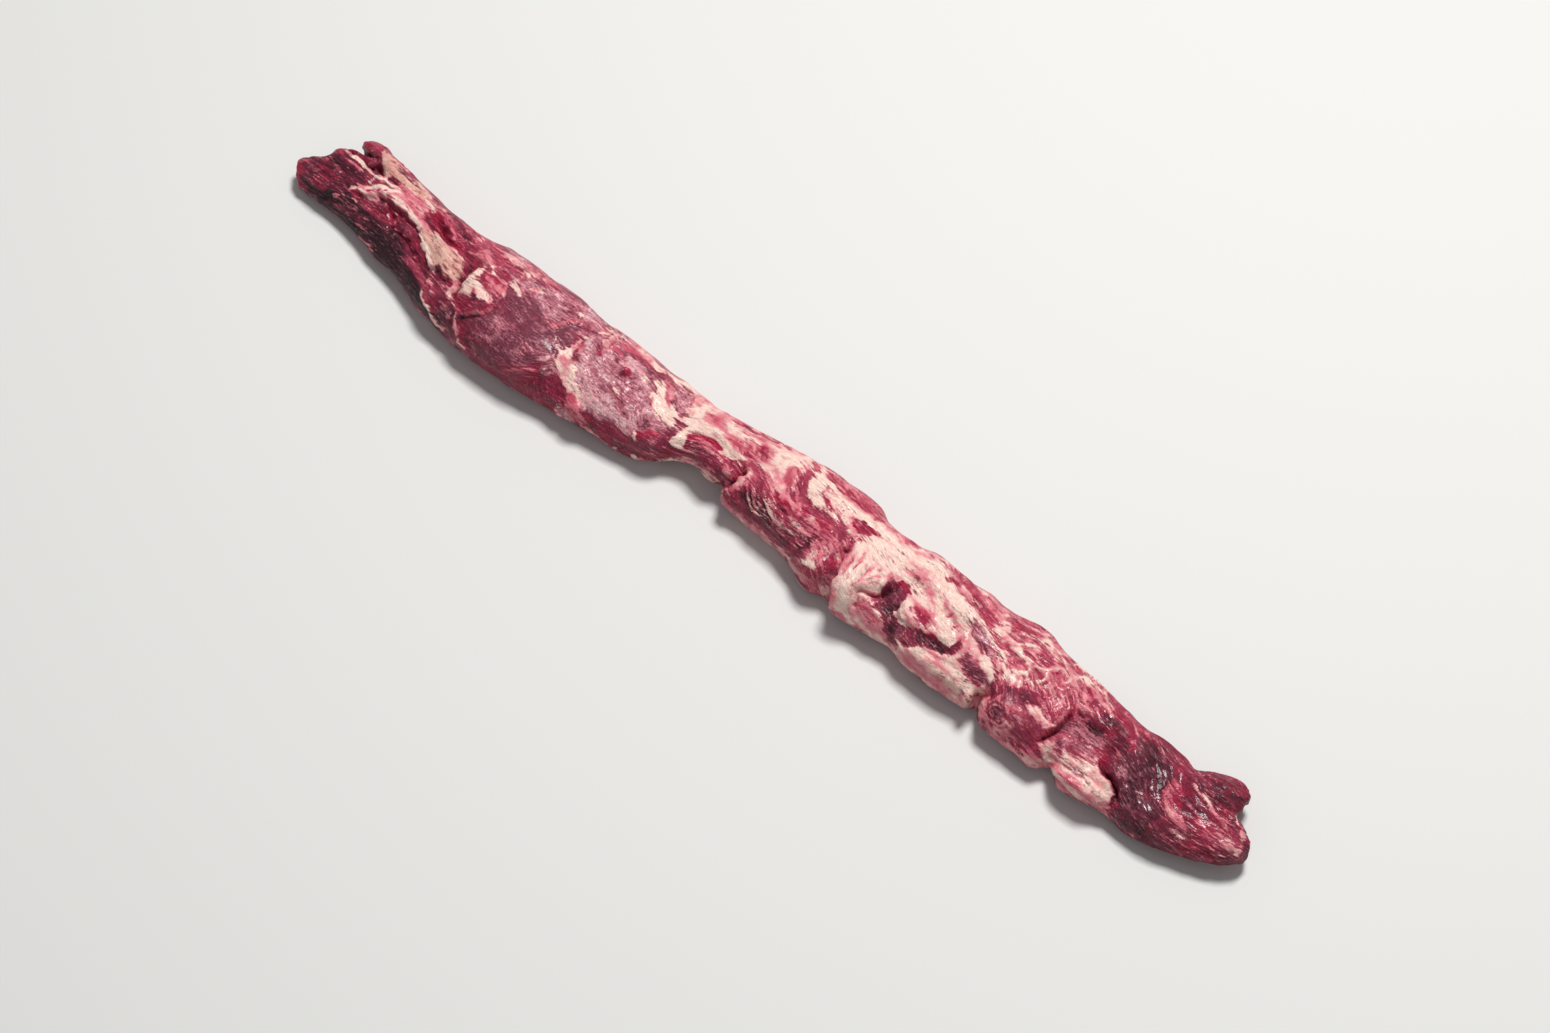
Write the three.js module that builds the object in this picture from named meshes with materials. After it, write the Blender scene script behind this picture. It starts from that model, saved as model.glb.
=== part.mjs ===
// A raw beef chain steak: the long, narrow side strip of a tenderloin, trimmed loosely and laid out flat.
// Units are millimetres and +Z is up. +X runs from the frayed head end to the notched tail end.
// The viewing side, which shows the dark flank and the folds, faces -Y. The origin is the middle of the underside.
import * as THREE from "three";

// Where the strip's even sections stop and the torn end outlines take over
const HEAD_X = -240;
const TAIL_X = 236;

// How finely the skin is divided
const RINGS = 112;
const TOP_SIDES = 28;
const BOTTOM_SIDES = 16;
const END_RINGS = 3;

// Each edge is a list of [x, y]: the widest line of the strip on its near side and on its far side
const NEAR_EDGE = [
  [-245, -8.5], [-228, -8.2], [-212, -10], [-196, -13.6], [-180, -16.6], [-160, -22.3], [-140, -25],
  [-128, -26.8], [-105, -25.4], [-88, -22.8], [-66, -20.8], [-50, -18], [-40, -13.8], [-33, -9.2],
  [-26, -6.8], [-17, -8.2], [-11.5, -6], [-6, -13], [4, -12.4], [20, -13.4], [33, -16.6], [44, -19.9],
  [52, -17.4], [59, -22], [76, -20.8], [85, -20], [96, -22.2], [112, -21.8], [124, -21.4],
  [129, -18.8], [135, -23], [147, -24.2], [160, -25], [166, -20], [175, -25], [192, -21.9],
  [206, -22.8], [217, -21.4], [228, -17.2], [238, -13],
];
const FAR_EDGE = [
  [-240, 28.2], [-222, 27], [-200, 23.1], [-180, 20], [-166, 18.7], [-150, 21.2], [-128, 22],
  [-110, 23], [-98, 21.4], [-75, 20.2], [-50, 19.2], [-30, 18.6], [-14, 20.8], [8, 24.6], [34, 25.2],
  [46, 24], [58, 20.9], [68, 20.8], [80, 22.5], [104, 21.3], [118, 20.8], [130, 22.4], [144, 20.6],
  [158, 19.8], [174, 17.6], [190, 15.3], [204, 14.9], [210, 13.8], [218, 18.4], [228, 20], [236, 19.4],
];
// [x, z]: the height of the crest, and of the underside where the strip bridges or lifts off its surface
const TOP = [
  [-246, 12.5], [-230, 16], [-205, 20], [-180, 23], [-150, 25], [-120, 24.5], [-80, 22.5], [-45, 21],
  [-20, 20.5], [10, 22.5], [50, 23.5], [95, 24], [130, 22.5], [160, 20], [190, 18], [215, 16.5],
  [238, 15],
];
const UNDERSIDE = [
  [-246, 1], [-232, 0], [-52, 0], [-38, 3], [-20, 5], [-4, 2.5], [8, 0], [200, 0], [218, 2.5],
  [238, 6],
];
// [x, share]: how far the crest lies from the middle towards the far side
const CREST = [[-240, 0], [-190, 0.3], [-160, 0.15], [-120, -0.05], [240, 0]];
// [x, power]: the fullness of the near side, where 2 is an ellipse and less is a straight slope
const NEAR_FULLNESS = [[-240, 2], [-190, 1.5], [-160, 1.8], [-125, 2.5], [240, 2.4]];
const FAR_FULLNESS = 2.4;
const BOTTOM_FULLNESS = 2.8;
// The underside's arc is drawn this much too deep and cut off level, so that the strip rests flat
const FOOT_DEPTH = 1.25;
// The widest line lies at this share of the thickness
const WAIST = 0.42;

// The torn outline of each end as [y, x], from the near side to the far side
const HEAD_END = [
  [-9.5, -245], [-5, -249], [0, -252], [6, -247.5], [11, -243], [16.5, -240], [19.5, -229],
  [22, -238], [25.5, -238], [28.5, -232],
];
const TAIL_END = [
  [-13, 239.5], [-8.5, 246.5], [-4, 248.5], [0, 247], [3.5, 243], [6, 238], [9, 236.5], [19.5, 234.5],
];
const END_BLEND = 22; // length over which a section bends into its end outline
const END_ROUNDING = 6; // length over which an end thins
const END_THICKNESS = 0.5; // share of the thickness left at the tip

// Relief is laid out on a plan that is seen along the viewing direction, so that a place on the
// flank has a place on the plan too. A point at height z shows at this much of (z - PLAN_HEIGHT)
// further along X and Y.
const PLAN_HEIGHT = 10;
const PLAN_SHEAR = new THREE.Vector2(-0.371, 0.442);
const VIEW = new THREE.Vector3(0.321, -0.383, 0.866);

// Rounded muscles and lumps of fat: [x, y, half length, half width, turn in degrees, height]
const LUMPS = {
  upperBundle: [-237, 13, 17, 4.5, -4, 1.6],
  lowerBundle: [-235, -3, 18, 5.5, 6, 1.8],
  farStrand: [-218, 23.5, 24, 4.5, -6, 2],
  seam: [-204, 11.5, 20, 5, -4, 2.2],
  tendon: [-171, 3, 14, 6.5, -32, 2.4],
  farMuscle: [-178, 19, 26, 4.5, -3, 1.4],
  knob: [-148.5, 0, 9.5, 12, 12, 4.6],
  smallBump: [-158, 13.5, 5.5, 5, 0, 2.2],
  bulge: [-122, -5, 27, 22, -8, 3],
  fatRim: [-94, 6, 5.5, 13, 12, 1.8],
  flatLobe: [-72, 1, 24, 17, -6, 1.4],
  nearFold: [-81, -18, 9, 4.5, -18, 2.2],
  lowLobe: [-46, -11, 9.5, 7.5, 0, 2.4],
  neckMuscle: [-22, -1, 14, 6.5, -12, 2.4],
  neckCrown: [-20, 14.5, 22, 7.5, 8, 1.4],
  shoulder: [11, 0, 20, 10, -10, 2],
  bodyCrown: [20, 17, 26, 7.5, -3, 1.5],
  bodyFoot: [42, -12, 9, 8.5, 0, 2],
  fatFlap: [56.5, -7, 9.5, 17, 12, 4],
  fatKnob: [65, 1, 6.5, 6, 0, 2.6],
  pinkMound: [86, -3, 7.5, 6, 0, 2.4],
  fatHump: [99, 10, 10, 6, 0, 2.8],
  fatCrown: [77, 15, 25, 7.5, 0, 1.8],
  lowFat: [108, -17, 15, 5.5, 0, 1.8],
  strandLobe: [118, -4, 12, 7, -20, 1.4],
  marbledCrown: [136, 14, 20, 8, -3, 1.4],
  foldedLobe: [144, -11, 15, 12, 0, 3.6],
  lip: [181, -20.5, 16, 5, 2, 3.4],
  twist: [189, 4, 19, 7, -38, 3.4],
  lowerTwist: [208, -14, 15, 7.5, -14, 2.4],
  upperTailLobe: [224, 12, 12, 6.5, 6, 1.4],
  lowerTailLobe: [236, -6, 11, 6.5, 22, 1.4],
};
const HOLLOWS = {
  slot: [-181, 13, 10, 3.2, -24, -3],
  pocket: [76, -6, 9, 6, -30, -2.2],
  shadedHollow: [100, -8, 9, 4, 0, -2.2],
  web: [174, -5, 13, 9, -6, -4.4],
  tailDip: [212, 3, 10, 5, -34, -1.6],
};
// Creases between muscles: [depth, half width, the plan points that the crease runs through]
const CREASES = {
  fanGroove: [4, 2, [[-242, 19.5], [-230, 19], [-218, 18]]],
  seamFoot: [1.6, 2.2, [[-222, 2], [-205, 2.5], [-188, -2], [-172, -9], [-158, -13.5]]],
  knobFoot: [2.6, 2, [[-159, 8], [-158, -3], [-154, -14]]],
  neckCleft: [3.4, 2, [[-10.5, -7], [-9.5, 0], [-10, 6]]],
  flapFoot: [2.4, 2, [[46, 6], [47.5, -4], [51, -14], [55, -21]]],
  knobFold: [2.4, 1.8, [[71, 4], [70, -4], [62, -9], [65, -17]]],
  lobeCleft: [3, 2, [[128.5, -22], [127, -14], [131, -8]]],
  lobeBrink: [4.6, 2.2, [[158, -15], [161, -8], [161, 2]]],
  brow: [2.2, 2, [[160, 4], [168, 2.5], [177, 2]]],
  crack: [2.8, 1.8, [[182, -7], [190, -12], [197, -20]]],
};

// The side that lies away from view carries long shallow muscle waves in place of mapped relief:
// [length, ridges round the section, height]
const WAVES = [[91, 2, 0.45], [53, -3, 0.35], [31, 4, 0.25]];

// Mapped relief fades in where the skin turns towards the viewing direction by this much
const TURNED_TO_VIEW = 0.35;
// Waves fade out where the skin turns down this much, between the two values
const TURNED_DOWN = [0.3, 0.8];
// How steeply a lump rises from its rim
const LUMP_STEEPNESS = 1.5;
// Steps, in millimetres along the strip and radians round it, over which a slope is measured
const SLOPE_STEP = 1;
const TURN_STEP = 0.02;

const BEEF = { color: 0x7c2f3c, roughness: 0.45, metalness: 0 };

function smoothstep(low, high, value) {
  return THREE.MathUtils.smoothstep(value, low, high);
}

// The value of a profile at a place, on a smooth curve that never overshoots its points
function along(profile, at) {
  const last = profile.length - 1;
  if (at <= profile[0][0]) return profile[0][1];
  if (at >= profile[last][0]) return profile[last][1];
  const i = profile.findIndex(([place]) => place > at) - 1;
  const slope = (k) => (profile[k + 1][1] - profile[k][1]) / (profile[k + 1][0] - profile[k][0]);
  const tangent = (k) => {
    if (k === 0 || k === last) return slope(Math.min(k, last - 1));
    const before = slope(k - 1);
    const after = slope(k);
    return before * after <= 0 ? 0 : (2 * before * after) / (before + after);
  };
  const [x0, y0] = profile[i];
  const [x1, y1] = profile[i + 1];
  const span = x1 - x0;
  const t = (at - x0) / span;
  const rise = t * t * (3 - 2 * t);
  const leave = t * (1 - t) * (1 - t);
  const arrive = t * t * (t - 1);
  return y0 + (y1 - y0) * rise + span * (tangent(i) * leave + tangent(i + 1) * arrive);
}

// A power that keeps the sign, for superellipse arcs
function signedPower(value, power) {
  return Math.sign(value) * Math.abs(value) ** power;
}

// A point on the plain strip: x places the section, and turn goes from 0 at the near edge over the
// crest to pi at the far edge, then back under the strip to two pi
function plainPoint(x, turn) {
  const near = along(NEAR_EDGE, x);
  const far = along(FAR_EDGE, x);
  const under = along(UNDERSIDE, x);
  const thickness = along(TOP, x) - under;
  const overTop = turn <= Math.PI;
  const nearSide = Math.cos(turn) > 0;
  let fullness = BOTTOM_FULLNESS;
  if (overTop) fullness = nearSide ? along(NEAR_FULLNESS, x) : FAR_FULLNESS;
  const across = -signedPower(Math.cos(turn), 2 / fullness);
  const rise = signedPower(Math.sin(turn), 2 / fullness);
  const crest = overTop ? along(CREST, x) : 0;
  const share = crest + across * (across < 0 ? 1 + crest : 1 - crest);
  const y = (near + far) / 2 + (share * (far - near)) / 2;
  const drop = Math.max(-1, rise * FOOT_DEPTH);
  const z = under + thickness * WAIST + (overTop ? rise * (1 - WAIST) : drop * WAIST) * thickness;
  return new THREE.Vector3(bentX(x, y), y, thinnedZ(x, z, under, thickness));
}

// Sections near an end bend into the end's torn outline
function bentX(x, y) {
  const atHead = 1 - smoothstep(HEAD_X, HEAD_X + END_BLEND, x);
  const atTail = smoothstep(TAIL_X - END_BLEND, TAIL_X, x);
  return x + atHead * (along(HEAD_END, y) - HEAD_X) + atTail * (along(TAIL_END, y) - TAIL_X);
}

// The last few millimetres of an end get thinner
function thinnedZ(x, z, under, thickness) {
  const toEnd = Math.max(0, Math.min(x - HEAD_X, TAIL_X - x)) / END_ROUNDING;
  if (toEnd >= 1) return z;
  const kept = END_THICKNESS + (1 - END_THICKNESS) * Math.sqrt(1 - (1 - toEnd) ** 2);
  const middle = under + thickness * WAIST;
  return middle + (z - middle) * kept;
}

function onPlan(point) {
  const lift = point.z - PLAN_HEIGHT;
  return new THREE.Vector2(point.x + PLAN_SHEAR.x * lift, point.y + PLAN_SHEAR.y * lift);
}

function lumpHeight(place, [x, y, halfLength, halfWidth, turn, height]) {
  const local = place.clone().sub(new THREE.Vector2(x, y));
  local.rotateAround(new THREE.Vector2(), -THREE.MathUtils.degToRad(turn));
  const reach = Math.hypot(local.x / halfLength, local.y / halfWidth);
  return reach < 1 ? height * (1 - reach * reach) ** LUMP_STEEPNESS : 0;
}

function distanceToPath(place, path) {
  let nearest = Infinity;
  for (let i = 1; i < path.length; i++) {
    const from = new THREE.Vector2(...path[i - 1]);
    const step = new THREE.Vector2(...path[i]).sub(from);
    const offset = place.clone().sub(from);
    const t = THREE.MathUtils.clamp(offset.dot(step) / step.lengthSq(), 0, 1);
    nearest = Math.min(nearest, offset.sub(step.multiplyScalar(t)).length());
  }
  return nearest;
}

function creaseDepth(place, [depth, halfWidth, path]) {
  return depth * Math.exp(-((distanceToPath(place, path) / halfWidth) ** 2));
}

// How far the skin stands out from the plain strip, along its normal
function relief(point, normal, x, turn) {
  const place = onPlan(point);
  const seen = smoothstep(0, TURNED_TO_VIEW, normal.dot(VIEW));
  let height = 0;
  for (const lump of Object.values(LUMPS)) height += lumpHeight(place, lump);
  for (const hollow of Object.values(HOLLOWS)) height += lumpHeight(place, hollow);
  for (const crease of Object.values(CREASES)) height -= creaseDepth(place, crease);
  let wave = 0;
  for (const [length, ridges, rise] of WAVES) wave += rise * Math.sin((2 * Math.PI * x) / length + ridges * turn);
  const standsFree = 1 - smoothstep(...TURNED_DOWN, -normal.z);
  return seen * height + (1 - seen) * standsFree * wave;
}

// The places of the cross-sections: even, with a few more where the ends thin
function sectionPlaces() {
  const places = [];
  for (let i = 1; i <= END_RINGS; i++) places.push(HEAD_X + (END_ROUNDING * (i - 1) ** 2) / END_RINGS ** 2);
  const inner = RINGS - 2 * END_RINGS;
  const from = HEAD_X + END_ROUNDING;
  const to = TAIL_X - END_ROUNDING;
  for (let i = 0; i < inner; i++) places.push(from + ((to - from) * i) / (inner - 1));
  for (let i = END_RINGS; i >= 1; i--) places.push(TAIL_X - (END_ROUNDING * (i - 1) ** 2) / END_RINGS ** 2);
  return places;
}

function sectionTurns() {
  const turns = [];
  for (let i = 0; i < TOP_SIDES; i++) turns.push((Math.PI * i) / TOP_SIDES);
  for (let i = 0; i < BOTTOM_SIDES; i++) turns.push(Math.PI * (1 + i / BOTTOM_SIDES));
  return turns;
}

function plainNormal(x, turn) {
  const alongSkin = plainPoint(x + SLOPE_STEP, turn).sub(plainPoint(x - SLOPE_STEP, turn));
  const roundSkin = plainPoint(x, turn + TURN_STEP).sub(plainPoint(x, turn - TURN_STEP));
  return alongSkin.cross(roundSkin).normalize();
}

function steakGeometry() {
  const places = sectionPlaces();
  const turns = sectionTurns();
  const points = [];
  for (const x of places) {
    for (const turn of turns) {
      const point = plainPoint(x, turn);
      const normal = plainNormal(x, turn);
      point.addScaledVector(normal, relief(point, normal, x, turn));
      point.z = Math.max(point.z, along(UNDERSIDE, x));
      points.push(point);
    }
  }
  const sides = turns.length;
  const faces = [];
  for (let i = 0; i + 1 < places.length; i++) {
    for (let j = 0; j < sides; j++) {
      const a = i * sides + j;
      const b = i * sides + ((j + 1) % sides);
      faces.push(a, b + sides, b, a, a + sides, b + sides);
    }
  }
  closeEnd(points, faces, 0, sides, false);
  closeEnd(points, faces, (places.length - 1) * sides, sides, true);
  const geometry = new THREE.BufferGeometry().setFromPoints(points);
  geometry.setIndex(faces);
  geometry.computeVertexNormals();
  return geometry;
}

// A torn end is a low wall that zips the top of its ring to the underside, from near to far
function closeEnd(points, faces, first, sides, atTail) {
  const top = [];
  for (let j = 0; j <= TOP_SIDES; j++) top.push(first + j);
  const bottom = [first];
  for (let j = sides - 1; j >= TOP_SIDES; j--) bottom.push(first + j);
  let i = 0;
  let k = 0;
  while (i + 1 < top.length || k + 1 < bottom.length) {
    const topIsNext =
      k + 1 === bottom.length || (i + 1 < top.length && points[top[i + 1]].y <= points[bottom[k + 1]].y);
    const next = topIsNext ? top[i + 1] : bottom[k + 1];
    const face = [top[i], next, bottom[k]];
    if (new Set(face).size === 3) faces.push(...(atTail ? face.reverse() : face));
    if (topIsNext) i++;
    else k++;
  }
}

const steak = new THREE.Mesh(steakGeometry(), new THREE.MeshStandardMaterial(BEEF));
steak.name = "steak";

const group = new THREE.Group();
group.add(steak);

export default group;
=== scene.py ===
import math

import bpy
import numpy as np
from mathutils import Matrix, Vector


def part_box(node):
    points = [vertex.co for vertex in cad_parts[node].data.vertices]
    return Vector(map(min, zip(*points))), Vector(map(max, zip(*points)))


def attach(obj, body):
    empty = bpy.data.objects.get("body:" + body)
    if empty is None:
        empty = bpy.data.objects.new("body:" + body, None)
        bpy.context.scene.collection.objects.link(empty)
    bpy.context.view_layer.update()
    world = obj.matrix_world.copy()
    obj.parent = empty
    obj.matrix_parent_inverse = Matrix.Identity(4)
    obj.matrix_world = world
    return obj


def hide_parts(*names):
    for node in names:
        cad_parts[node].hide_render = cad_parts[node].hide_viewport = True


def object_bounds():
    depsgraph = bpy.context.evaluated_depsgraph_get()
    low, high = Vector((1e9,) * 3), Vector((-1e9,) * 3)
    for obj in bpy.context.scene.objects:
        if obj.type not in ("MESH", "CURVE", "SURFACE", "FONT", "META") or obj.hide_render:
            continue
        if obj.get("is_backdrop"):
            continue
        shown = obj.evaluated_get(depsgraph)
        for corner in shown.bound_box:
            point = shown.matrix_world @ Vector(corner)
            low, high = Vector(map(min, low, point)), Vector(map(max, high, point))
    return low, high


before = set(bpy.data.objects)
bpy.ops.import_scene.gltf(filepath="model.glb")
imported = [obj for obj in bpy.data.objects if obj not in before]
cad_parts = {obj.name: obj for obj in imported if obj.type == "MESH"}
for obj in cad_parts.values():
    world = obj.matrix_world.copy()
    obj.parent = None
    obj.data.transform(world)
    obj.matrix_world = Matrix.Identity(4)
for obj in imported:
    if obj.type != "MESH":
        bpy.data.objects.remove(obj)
METRES = 0.001
cad_box = [list(corner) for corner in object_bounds()]
solid_low, solid_high = (np.array(corner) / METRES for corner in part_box("steak"))
print("the solid spans, in mm:", solid_low.round(1), solid_high.round(1))

# %% [markdown]
# ## The plain body
# A real strip has a flat foot, a crest, and two soft edges. Lofting sections between a few smooth profiles
# gives that body, and the same profiles shaped the solid, so the skin made here lies right on it.
# %% Profiles of the plain body
HEAD_X = -240
TAIL_X = 236
NEAR_EDGE = [
    [-245, -8.5], [-228, -8.2], [-212, -10], [-196, -13.6], [-180, -16.6], [-160, -22.3], [-140, -25],
    [-128, -26.8], [-105, -25.4], [-88, -22.8], [-66, -20.8], [-50, -18], [-40, -13.8], [-33, -9.2],
    [-26, -6.8], [-17, -8.2], [-11.5, -6], [-6, -13], [4, -12.4], [20, -13.4], [33, -16.6], [44, -19.9],
    [52, -17.4], [59, -22], [76, -20.8], [85, -20], [96, -22.2], [112, -21.8], [124, -21.4],
    [129, -18.8], [135, -23], [147, -24.2], [160, -25], [166, -20], [175, -25], [192, -21.9],
    [206, -22.8], [217, -21.4], [228, -17.2], [238, -13],
]
FAR_EDGE = [
    [-240, 28.2], [-222, 27], [-200, 23.1], [-180, 20], [-166, 18.7], [-150, 21.2], [-128, 22],
    [-110, 23], [-98, 21.4], [-75, 20.2], [-50, 19.2], [-30, 18.6], [-14, 20.8], [8, 24.6], [34, 25.2],
    [46, 24], [58, 20.9], [68, 20.8], [80, 22.5], [104, 21.3], [118, 20.8], [130, 22.4], [144, 20.6],
    [158, 19.8], [174, 17.6], [190, 15.3], [204, 14.9], [210, 13.8], [218, 18.4], [228, 20], [236, 19.4],
]
TOP = [
    [-246, 12.5], [-230, 16], [-205, 20], [-180, 23], [-150, 25], [-120, 24.5], [-80, 22.5], [-45, 21],
    [-20, 20.5], [10, 22.5], [50, 23.5], [95, 24], [130, 22.5], [160, 20], [190, 18], [215, 16.5],
    [238, 15],
]
UNDERSIDE = [
    [-246, 1], [-232, 0], [-52, 0], [-38, 3], [-20, 5], [-4, 2.5], [8, 0], [200, 0], [218, 2.5], [238, 6],
]
CREST = [[-240, 0], [-190, 0.3], [-160, 0.15], [-120, -0.05], [240, 0]]
NEAR_FULLNESS = [[-240, 2], [-190, 1.5], [-160, 1.8], [-125, 2.5], [240, 2.4]]
FAR_FULLNESS = 2.4
BOTTOM_FULLNESS = 2.8
FOOT_DEPTH = 1.25
WAIST = 0.42
HEAD_END = [
    [-9.5, -245], [-5, -249], [0, -252], [6, -247.5], [11, -243], [16.5, -240], [19.5, -229],
    [22, -238], [25.5, -238], [28.5, -232],
]
TAIL_END = [
    [-13, 239.5], [-8.5, 246.5], [-4, 248.5], [0, 247], [3.5, 243], [6, 238], [9, 236.5], [19.5, 234.5],
]
END_BLEND = 22
END_ROUNDING = 6
END_THICKNESS = 0.5


def along(profile, at):
    """The profile's value at each place, on a smooth curve that never overshoots its points."""
    places, values = np.array(profile, float).T
    at = np.clip(at, places[0], places[-1])
    slope = np.diff(values) / np.diff(places)
    before, after = slope[:-1], slope[1:]
    same_way = before * after > 0
    mean = 2 * before * after / np.where(same_way, before + after, 1)
    tangent = np.concatenate([slope[:1], np.where(same_way, mean, 0), slope[-1:]])
    i = np.clip(np.searchsorted(places, at, side="right") - 1, 0, len(places) - 2)
    span = places[i + 1] - places[i]
    t = (at - places[i]) / span
    bent = tangent[i] * t * (1 - t) ** 2 + tangent[i + 1] * t * t * (t - 1)
    return values[i] + (values[i + 1] - values[i]) * t * t * (3 - 2 * t) + span * bent


def ease(low, high, value):
    """0 below low, 1 above high, and a soft ramp between."""
    t = np.clip((value - low) / (high - low), 0, 1)
    return t * t * (3 - 2 * t)


lobe_width = float(along(FAR_EDGE, -60) - along(NEAR_EDGE, -60))
print("the body is about", round(lobe_width, 1), "mm wide at its flat lobe")

# %% [markdown]
# ## One section
# A section through the strip is a squashed round: flat below, full at the sides. A superellipse gives
# such a round from two or three numbers, where a drawn curve at every section would take dozens.
# %% Sections of the plain body
def signed_power(value, power):
    return np.sign(value) * np.abs(value) ** power


def plain_points(x, turn):
    """Points on the plain body: turn is 0 at the near edge and pi at the far one, over the crest."""
    near, far, under = along(NEAR_EDGE, x), along(FAR_EDGE, x), along(UNDERSIDE, x)
    thickness = along(TOP, x) - under
    over_top = turn <= np.pi
    near_side = np.cos(turn) > 0
    top_fullness = np.where(near_side, along(NEAR_FULLNESS, x), FAR_FULLNESS)
    fullness = np.where(over_top, top_fullness, BOTTOM_FULLNESS)
    across = -signed_power(np.cos(turn), 2 / fullness)
    rise = signed_power(np.sin(turn), 2 / fullness)
    crest = np.where(over_top, along(CREST, x), 0)
    share = crest + across * np.where(across < 0, 1 + crest, 1 - crest)
    y = (near + far) / 2 + share * (far - near) / 2
    drop = np.maximum(-1, rise * FOOT_DEPTH)
    z = under + thickness * (WAIST + np.where(over_top, rise * (1 - WAIST), drop * WAIST))
    at_head = 1 - ease(HEAD_X, HEAD_X + END_BLEND, x)
    at_tail = ease(TAIL_X - END_BLEND, TAIL_X, x)
    bent_x = x + at_head * (along(HEAD_END, y) - HEAD_X) + at_tail * (along(TAIL_END, y) - TAIL_X)
    to_end = np.clip(np.minimum(x - HEAD_X, TAIL_X - x) / END_ROUNDING, 0, 1)
    kept = END_THICKNESS + (1 - END_THICKNESS) * np.sqrt(1 - (1 - to_end) ** 2)
    middle = under + thickness * WAIST
    return np.stack([bent_x, y, middle + (z - middle) * kept], -1)


print("the crest at the knob is", plain_points(np.array(-150.0), np.array(np.pi / 2)).round(1))

# %% [markdown]
# ## A plan to work on
# A cook sees the strip from one side, so its surface is laid out as seen from there: every place on the
# upper skin and the near flank has its own place on this flat plan. Working on a plan keeps each patch of
# fat and each fold as a few plain numbers. The plan is a grid of small cells held in arrays.
# %% The plan's grid and its random fields
CELL = 0.4
PLAN_LOW = np.array([-262.0, -38.0])
PLAN_SHAPE = (190, 1310)
PLAN_HEIGHT = 10
BLUR_FALL = 3.2
COOKS_EYE = np.array([485.0, -565.0, 1278.0])
VIEW = np.array([0.321, -0.383, 0.866])
PLAN_X, PLAN_Y = np.meshgrid(
    PLAN_LOW[0] + CELL * np.arange(PLAN_SHAPE[1]), PLAN_LOW[1] + CELL * np.arange(PLAN_SHAPE[0])
)


def on_plan(places):
    """Where the cook sees each place against the level of the plan."""
    below_eye = (places[..., 2:] - PLAN_HEIGHT) / (COOKS_EYE[2] - places[..., 2:])
    return places[..., :2] + (places[..., :2] - COOKS_EYE[:2]) * below_eye


def blur(field, length, width):
    """The field with everything smaller than length by width smoothed away."""
    across = np.fft.fftfreq(PLAN_SHAPE[0], CELL)[:, None] * width
    lengthwise = np.fft.fftfreq(PLAN_SHAPE[1], CELL)[None] * length
    return np.fft.ifft2(np.fft.fft2(field) * np.exp(-BLUR_FALL * (across**2 + lengthwise**2))).real


def cloud(seed, length, width):
    """A smooth random field with mean 0 and spread 1, in patches of about length by width."""
    field = blur(np.random.default_rng(seed).standard_normal(PLAN_SHAPE), length, width)
    return field / field.std()


def sample(field, x, y):
    """The field's value at places on the plan, blended between cells."""
    column = np.clip((x - PLAN_LOW[0]) / CELL, 0, PLAN_SHAPE[1] - 1.001)
    row = np.clip((y - PLAN_LOW[1]) / CELL, 0, PLAN_SHAPE[0] - 1.001)
    i, j = row.astype(int), column.astype(int)
    v, u = row - i, column - j
    upper = field[i + 1, j] * (1 - u) + field[i + 1, j + 1] * u
    return (field[i, j] * (1 - u) + field[i, j + 1] * u) * (1 - v) + upper * v


# Flesh has no straight edges, so every stroke is measured in slightly wandering coordinates
WANDER_X = PLAN_X + 0.55 * cloud(1, 6, 6) + 0.3 * cloud(2, 2, 2)
WANDER_Y = PLAN_Y + 0.45 * cloud(3, 6, 6) + 0.25 * cloud(4, 2, 2)
print("the plan has", PLAN_X.size, "cells of", CELL, "mm")

# %% [markdown]
# ## Measuring to a line
# A cook sees a streak as a line with a width. To lay one, every cell must know how far it is from the
# line. Measuring only in a window round the line keeps several hundred strokes quick.
# %% Strokes on the plan
def curve(points):
    """A smooth path through x, y, x, y, and so on."""
    p = np.reshape(points, (-1, 2)).astype(float)
    if len(p) < 3:
        return p
    p = np.vstack([2 * p[0] - p[1], p, 2 * p[-1] - p[-2]])
    t = np.linspace(0, 1, 4, endpoint=False)[:, None]
    spans = []
    for a, b, c, d in zip(p[:-3], p[1:-2], p[2:-1], p[3:]):
        bend, twist = a - 2.5 * b + 2 * c - d / 2, -a + 3 * b - 3 * c + d
        spans.append(b + t * (c - a) / 2 + t**2 * bend + t**3 * twist / 2)
    return np.vstack([*spans, p[-2:-1]])


def window_round(path, reach):
    """The part of the plan within reach of a path."""
    low = np.floor((path.min(0) - reach - PLAN_LOW) / CELL).astype(int).clip(0)
    high = np.ceil((path.max(0) + reach - PLAN_LOW) / CELL).astype(int).clip(1)
    return slice(low[1], high[1]), slice(low[0], high[0])


def measure(path, window):
    """Each cell's distance to the path, its share of the way along it, and its side: 1 is left, -1 right."""
    px, py = WANDER_X[window], WANDER_Y[window]
    lengths = np.linalg.norm(np.diff(path, axis=0), axis=1)
    starts = np.concatenate([[0], np.cumsum(lengths)])
    distance, share, side = np.full(px.shape, 1e9), np.zeros(px.shape), np.ones(px.shape)
    for (ax, ay), (bx, by), length, start in zip(path[:-1], path[1:], lengths, starts):
        dx, dy = (bx - ax) / length, (by - ay) / length
        t = np.clip((px - ax) * dx + (py - ay) * dy, 0, length)
        ox, oy = px - ax - t * dx, py - ay - t * dy
        away = np.hypot(ox, oy)
        nearer = away < distance
        distance = np.where(nearer, away, distance)
        share = np.where(nearer, (start + t) / starts[-1], share)
        side = np.where(nearer, np.where(dx * oy - dy * ox >= 0, 1, -1), side)
    return distance, share, side


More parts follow.
